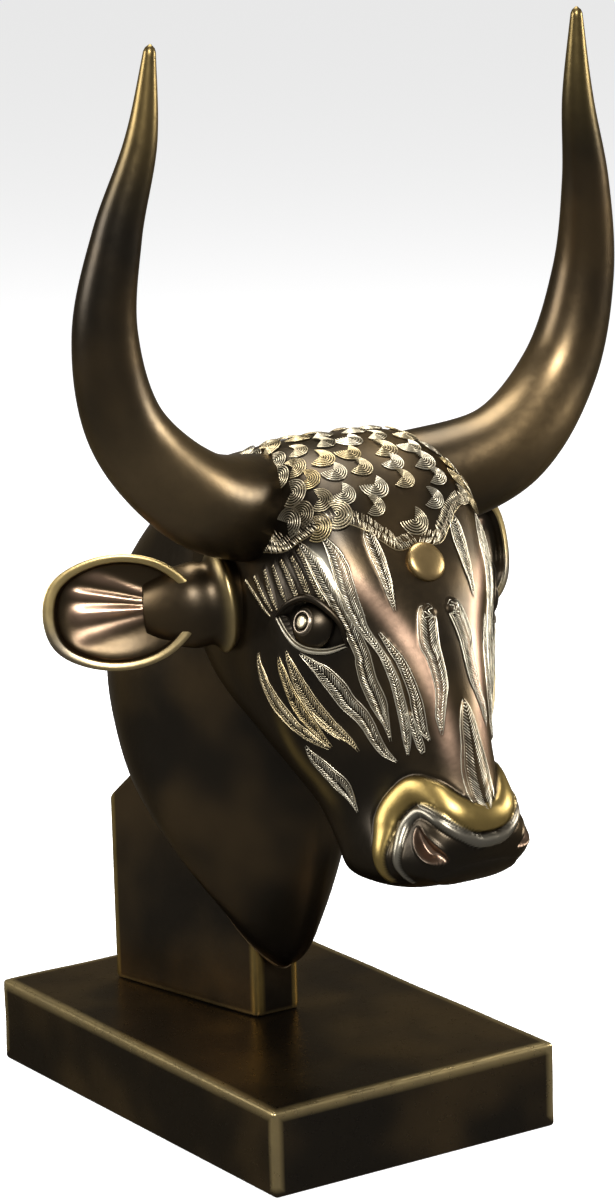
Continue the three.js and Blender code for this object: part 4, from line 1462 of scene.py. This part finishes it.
@dataclass
class Studio:
    """A pale floor, soft light and the camera.

    Attributes:
        eye: the camera's place.
        yaw, pitch, roll: its turn to the right of +Y, its dip and its tilt, in radians.
        lens: focal length for a 36 mm high picture.
    """

    eye: tuple = (-702.129, -1095.592, 463.391)
    yaw: float = 0.58193251
    pitch: float = 0.22668662
    roll: float = -0.02715952
    lens: float = 126.633

    def build(self) -> None:
        """Makes the camera, the floor, the lamps and the world."""
        scene = bpy.context.scene
        scene.view_settings.view_transform = "Standard"
        self._camera(scene)
        self._floor()
        self._backdrop()
        self._lamp("key", (-520, -820, 900), (0, -40, 170), 420, 22)
        self._lamp("fill", (900, -420, 380), (0, -30, 150), 320, 8)
        self._lamp("rim", (-900, 420, 520), (0, 0, 170), 500, 9)
        self._lamp("top", (180, 260, 1100), (0, -20, 100), 620, 16)
        world = bpy.data.worlds.new("studio_room")
        world.use_nodes = True
        world.node_tree.nodes["Background"].inputs["Color"].default_value = (1, 1, 1, 1)
        world.node_tree.nodes["Background"].inputs["Strength"].default_value = 0.22
        scene.world = world

    def _camera(self, scene: bpy.types.Scene) -> None:
        """Places the camera."""
        data = bpy.data.cameras.new("camera")
        data.sensor_fit = "VERTICAL"
        data.sensor_height = 36
        data.lens = self.lens
        data.clip_end = 20
        camera = bpy.data.objects.new("camera", data)
        level = np.array([math.cos(self.yaw), -math.sin(self.yaw), 0])
        ahead = np.array([math.sin(self.yaw) * math.cos(self.pitch), math.cos(self.yaw) * math.cos(self.pitch),
                          -math.sin(self.pitch)])
        rise = np.cross(level, ahead)
        right = math.cos(self.roll) * level + math.sin(self.roll) * rise
        up = -math.sin(self.roll) * level + math.cos(self.roll) * rise
        turn = np.eye(4)
        turn[:3, 0], turn[:3, 1], turn[:3, 2] = right, up, -ahead
        turn[:3, 3] = np.array(self.eye) * MM
        camera.matrix_world = Matrix(turn.tolist())
        scene.collection.objects.link(camera)
        scene.camera = camera

    @staticmethod
    def _floor() -> None:
        """Makes the floor. Gloss shows the dim room in its place, so the bronze stays dark."""
        mesh = bpy.data.meshes.new("floor")
        reach = 6.0
        mesh.from_pydata([(-reach, -reach, 0), (reach, -reach, 0), (reach, reach, 0), (-reach, reach, 0)], [], [(0, 1, 2, 3)])
        floor = bpy.data.objects.new("floor", mesh)
        bpy.context.scene.collection.objects.link(floor)
        bench = Paint("floor_paint")
        shader = bench.add("ShaderNodeBsdfPrincipled", {}, {
            "Base Color": (0.8, 0.8, 0.8, 1), "Roughness": 1.0, "Specular IOR Level": 0.0,
            "Emission Color": (1, 1, 1, 1), "Emission Strength": 0.62})
        mesh.materials.append(bench.finish(shader))
        floor.visible_glossy = False

    @staticmethod
    def _backdrop() -> None:
        """Makes the white walls all round, which only the camera sees."""
        mesh = bpy.data.meshes.new("backdrop")
        around, radius = 48, 7.0
        angle = np.linspace(0, 2 * np.pi, around, endpoint=False)
        ring = np.column_stack([radius * np.cos(angle), radius * np.sin(angle)])
        points = [(x, y, z) for z in (-4.0, 7.0) for x, y in ring] + [(0, 0, 7.0)]
        faces = [(k, (k + 1) % around, around + (k + 1) % around, around + k) for k in range(around)]
        faces += [(around + k, around + (k + 1) % around, 2 * around) for k in range(around)]
        mesh.from_pydata(points, [], faces)
        walls = bpy.data.objects.new("backdrop", mesh)
        bpy.context.scene.collection.objects.link(walls)
        bench = Paint("backdrop_paint")
        mesh.materials.append(bench.finish(bench.add("ShaderNodeEmission", {}, {"Strength": 1.0})))
        walls.visible_glossy = False
        walls.visible_diffuse = False
        walls.visible_shadow = False

    @staticmethod
    def _lamp(name: str, place: tuple, aim: tuple, size: float, watts: float) -> None:
        """Makes a square soft lamp."""
        data = bpy.data.lights.new(name, "AREA")
        data.size = size * MM
        data.energy = watts
        lamp = bpy.data.objects.new(name, data)
        lamp.location = Vector(place) * MM
        lamp.rotation_euler = (Vector(aim) - Vector(place)).to_track_quat("-Z", "Y").to_euler()
        bpy.context.scene.collection.objects.link(lamp)


def settle(piece: bpy.types.Object, material: bpy.types.Material, slot: str, *nodes: str) -> None:
    """Dresses a finished piece and fixes it to the body.

    Args:
        piece: the object.
        material: its finish.
        slot: the record's material slot; not used.
        nodes: the CAD nodes that it stands for.
    """
    piece.data.materials.clear()
    piece.data.materials.append(material)
    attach(piece, "root")
    if nodes:
        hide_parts(*nodes)
    log.info("%s: %d faces", piece.name, len(piece.data.polygons))


def main() -> None:
    """Builds the bust, piece by piece, and its studio."""
    logging.basicConfig(level=logging.INFO, format="%(message)s")
    Studio().build()
    bronze = BronzeFinish("gilt_bronze").material()
    base = BronzeFinish("base_bronze", roughness=0.3).material()
    settle(Plinth().build(), base, "dark_base", "plinth")
    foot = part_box("bull_bust")[0][2] / MM
    settle(Wedge(foot=foot).build(), bronze, "bronze_finish")

    head, neck = Head(), Neck()
    for strip in (MUZZLE_BAND, MUZZLE_FOLD):
        head.lay(strip, 1)
    head.raise_cap(CAP_EDGE, 0.8)
    for side in Side:
        head.lay(NOSTRIL, side.value)
        for lock in LOCKS + STRANDS:
            if not lock.middle or side is Side.LEFT:
                head.raise_band(np.array(lock.rows, float) * [side.value, 1, 1], lock.high)
        head.sink_almond(UPPER_LID, LOWER_LID, side.value, 3.2)
        # Copper stripe on the ridge crest: partly rubbed copper, partly a painted highlight.
        head.rub_and_highlight(RIDGE_COPPER_AND_HIGHLIGHT, 3.2, "copper_and_highlight", 0.75, side.value)
        # Silver patch between the forehead locks: partly paler wear, partly a painted highlight.
        head.rub_and_highlight(((0.16, 0.245), (0.138, 0.27), (0.136, 0.3), (0.138, 0.33)), 2.2, "silver_and_highlight", 0.6, side.value)
        head.rub_and_highlight(((0.33, 0.35), (0.34, 0.45), (0.33, 0.56)), 4.0, "gilt", 0.35, side.value)
        head.rub_and_highlight(((0.22, 0.6), (0.24, 0.68), (0.25, 0.78)), 4.0, "gilt", 0.3, side.value)
    hair = Hair(head)
    hair.lay_curls()
    for side in Side:
        hair.fringe(side.value)
        for lock in LOCKS + STRANDS:
            if not lock.middle or side is Side.LEFT:
                hair.lay_lock(lock, side.value)
        for piece in Eye(side).build(head):
            settle(piece, bronze, "bronze_finish")
    settle(Disc().build(head), bronze, "bronze_finish")
    for piece in hair.build(bronze):
        settle(piece, bronze, "bronze_finish")
    settle(head.build(), bronze, "bronze_finish", "bull_bust")
    settle(neck.build(), bronze, "bronze_finish")
    for side in Side:
        settle(Horn(side).build(), bronze, "bronze_finish")
        ear = Ear(side)
        settle(ear.build_cup(), bronze, "bronze_finish")
        settle(ear.build_stalk(), bronze, "bronze_finish")


if __name__ == "__main__":
    main()
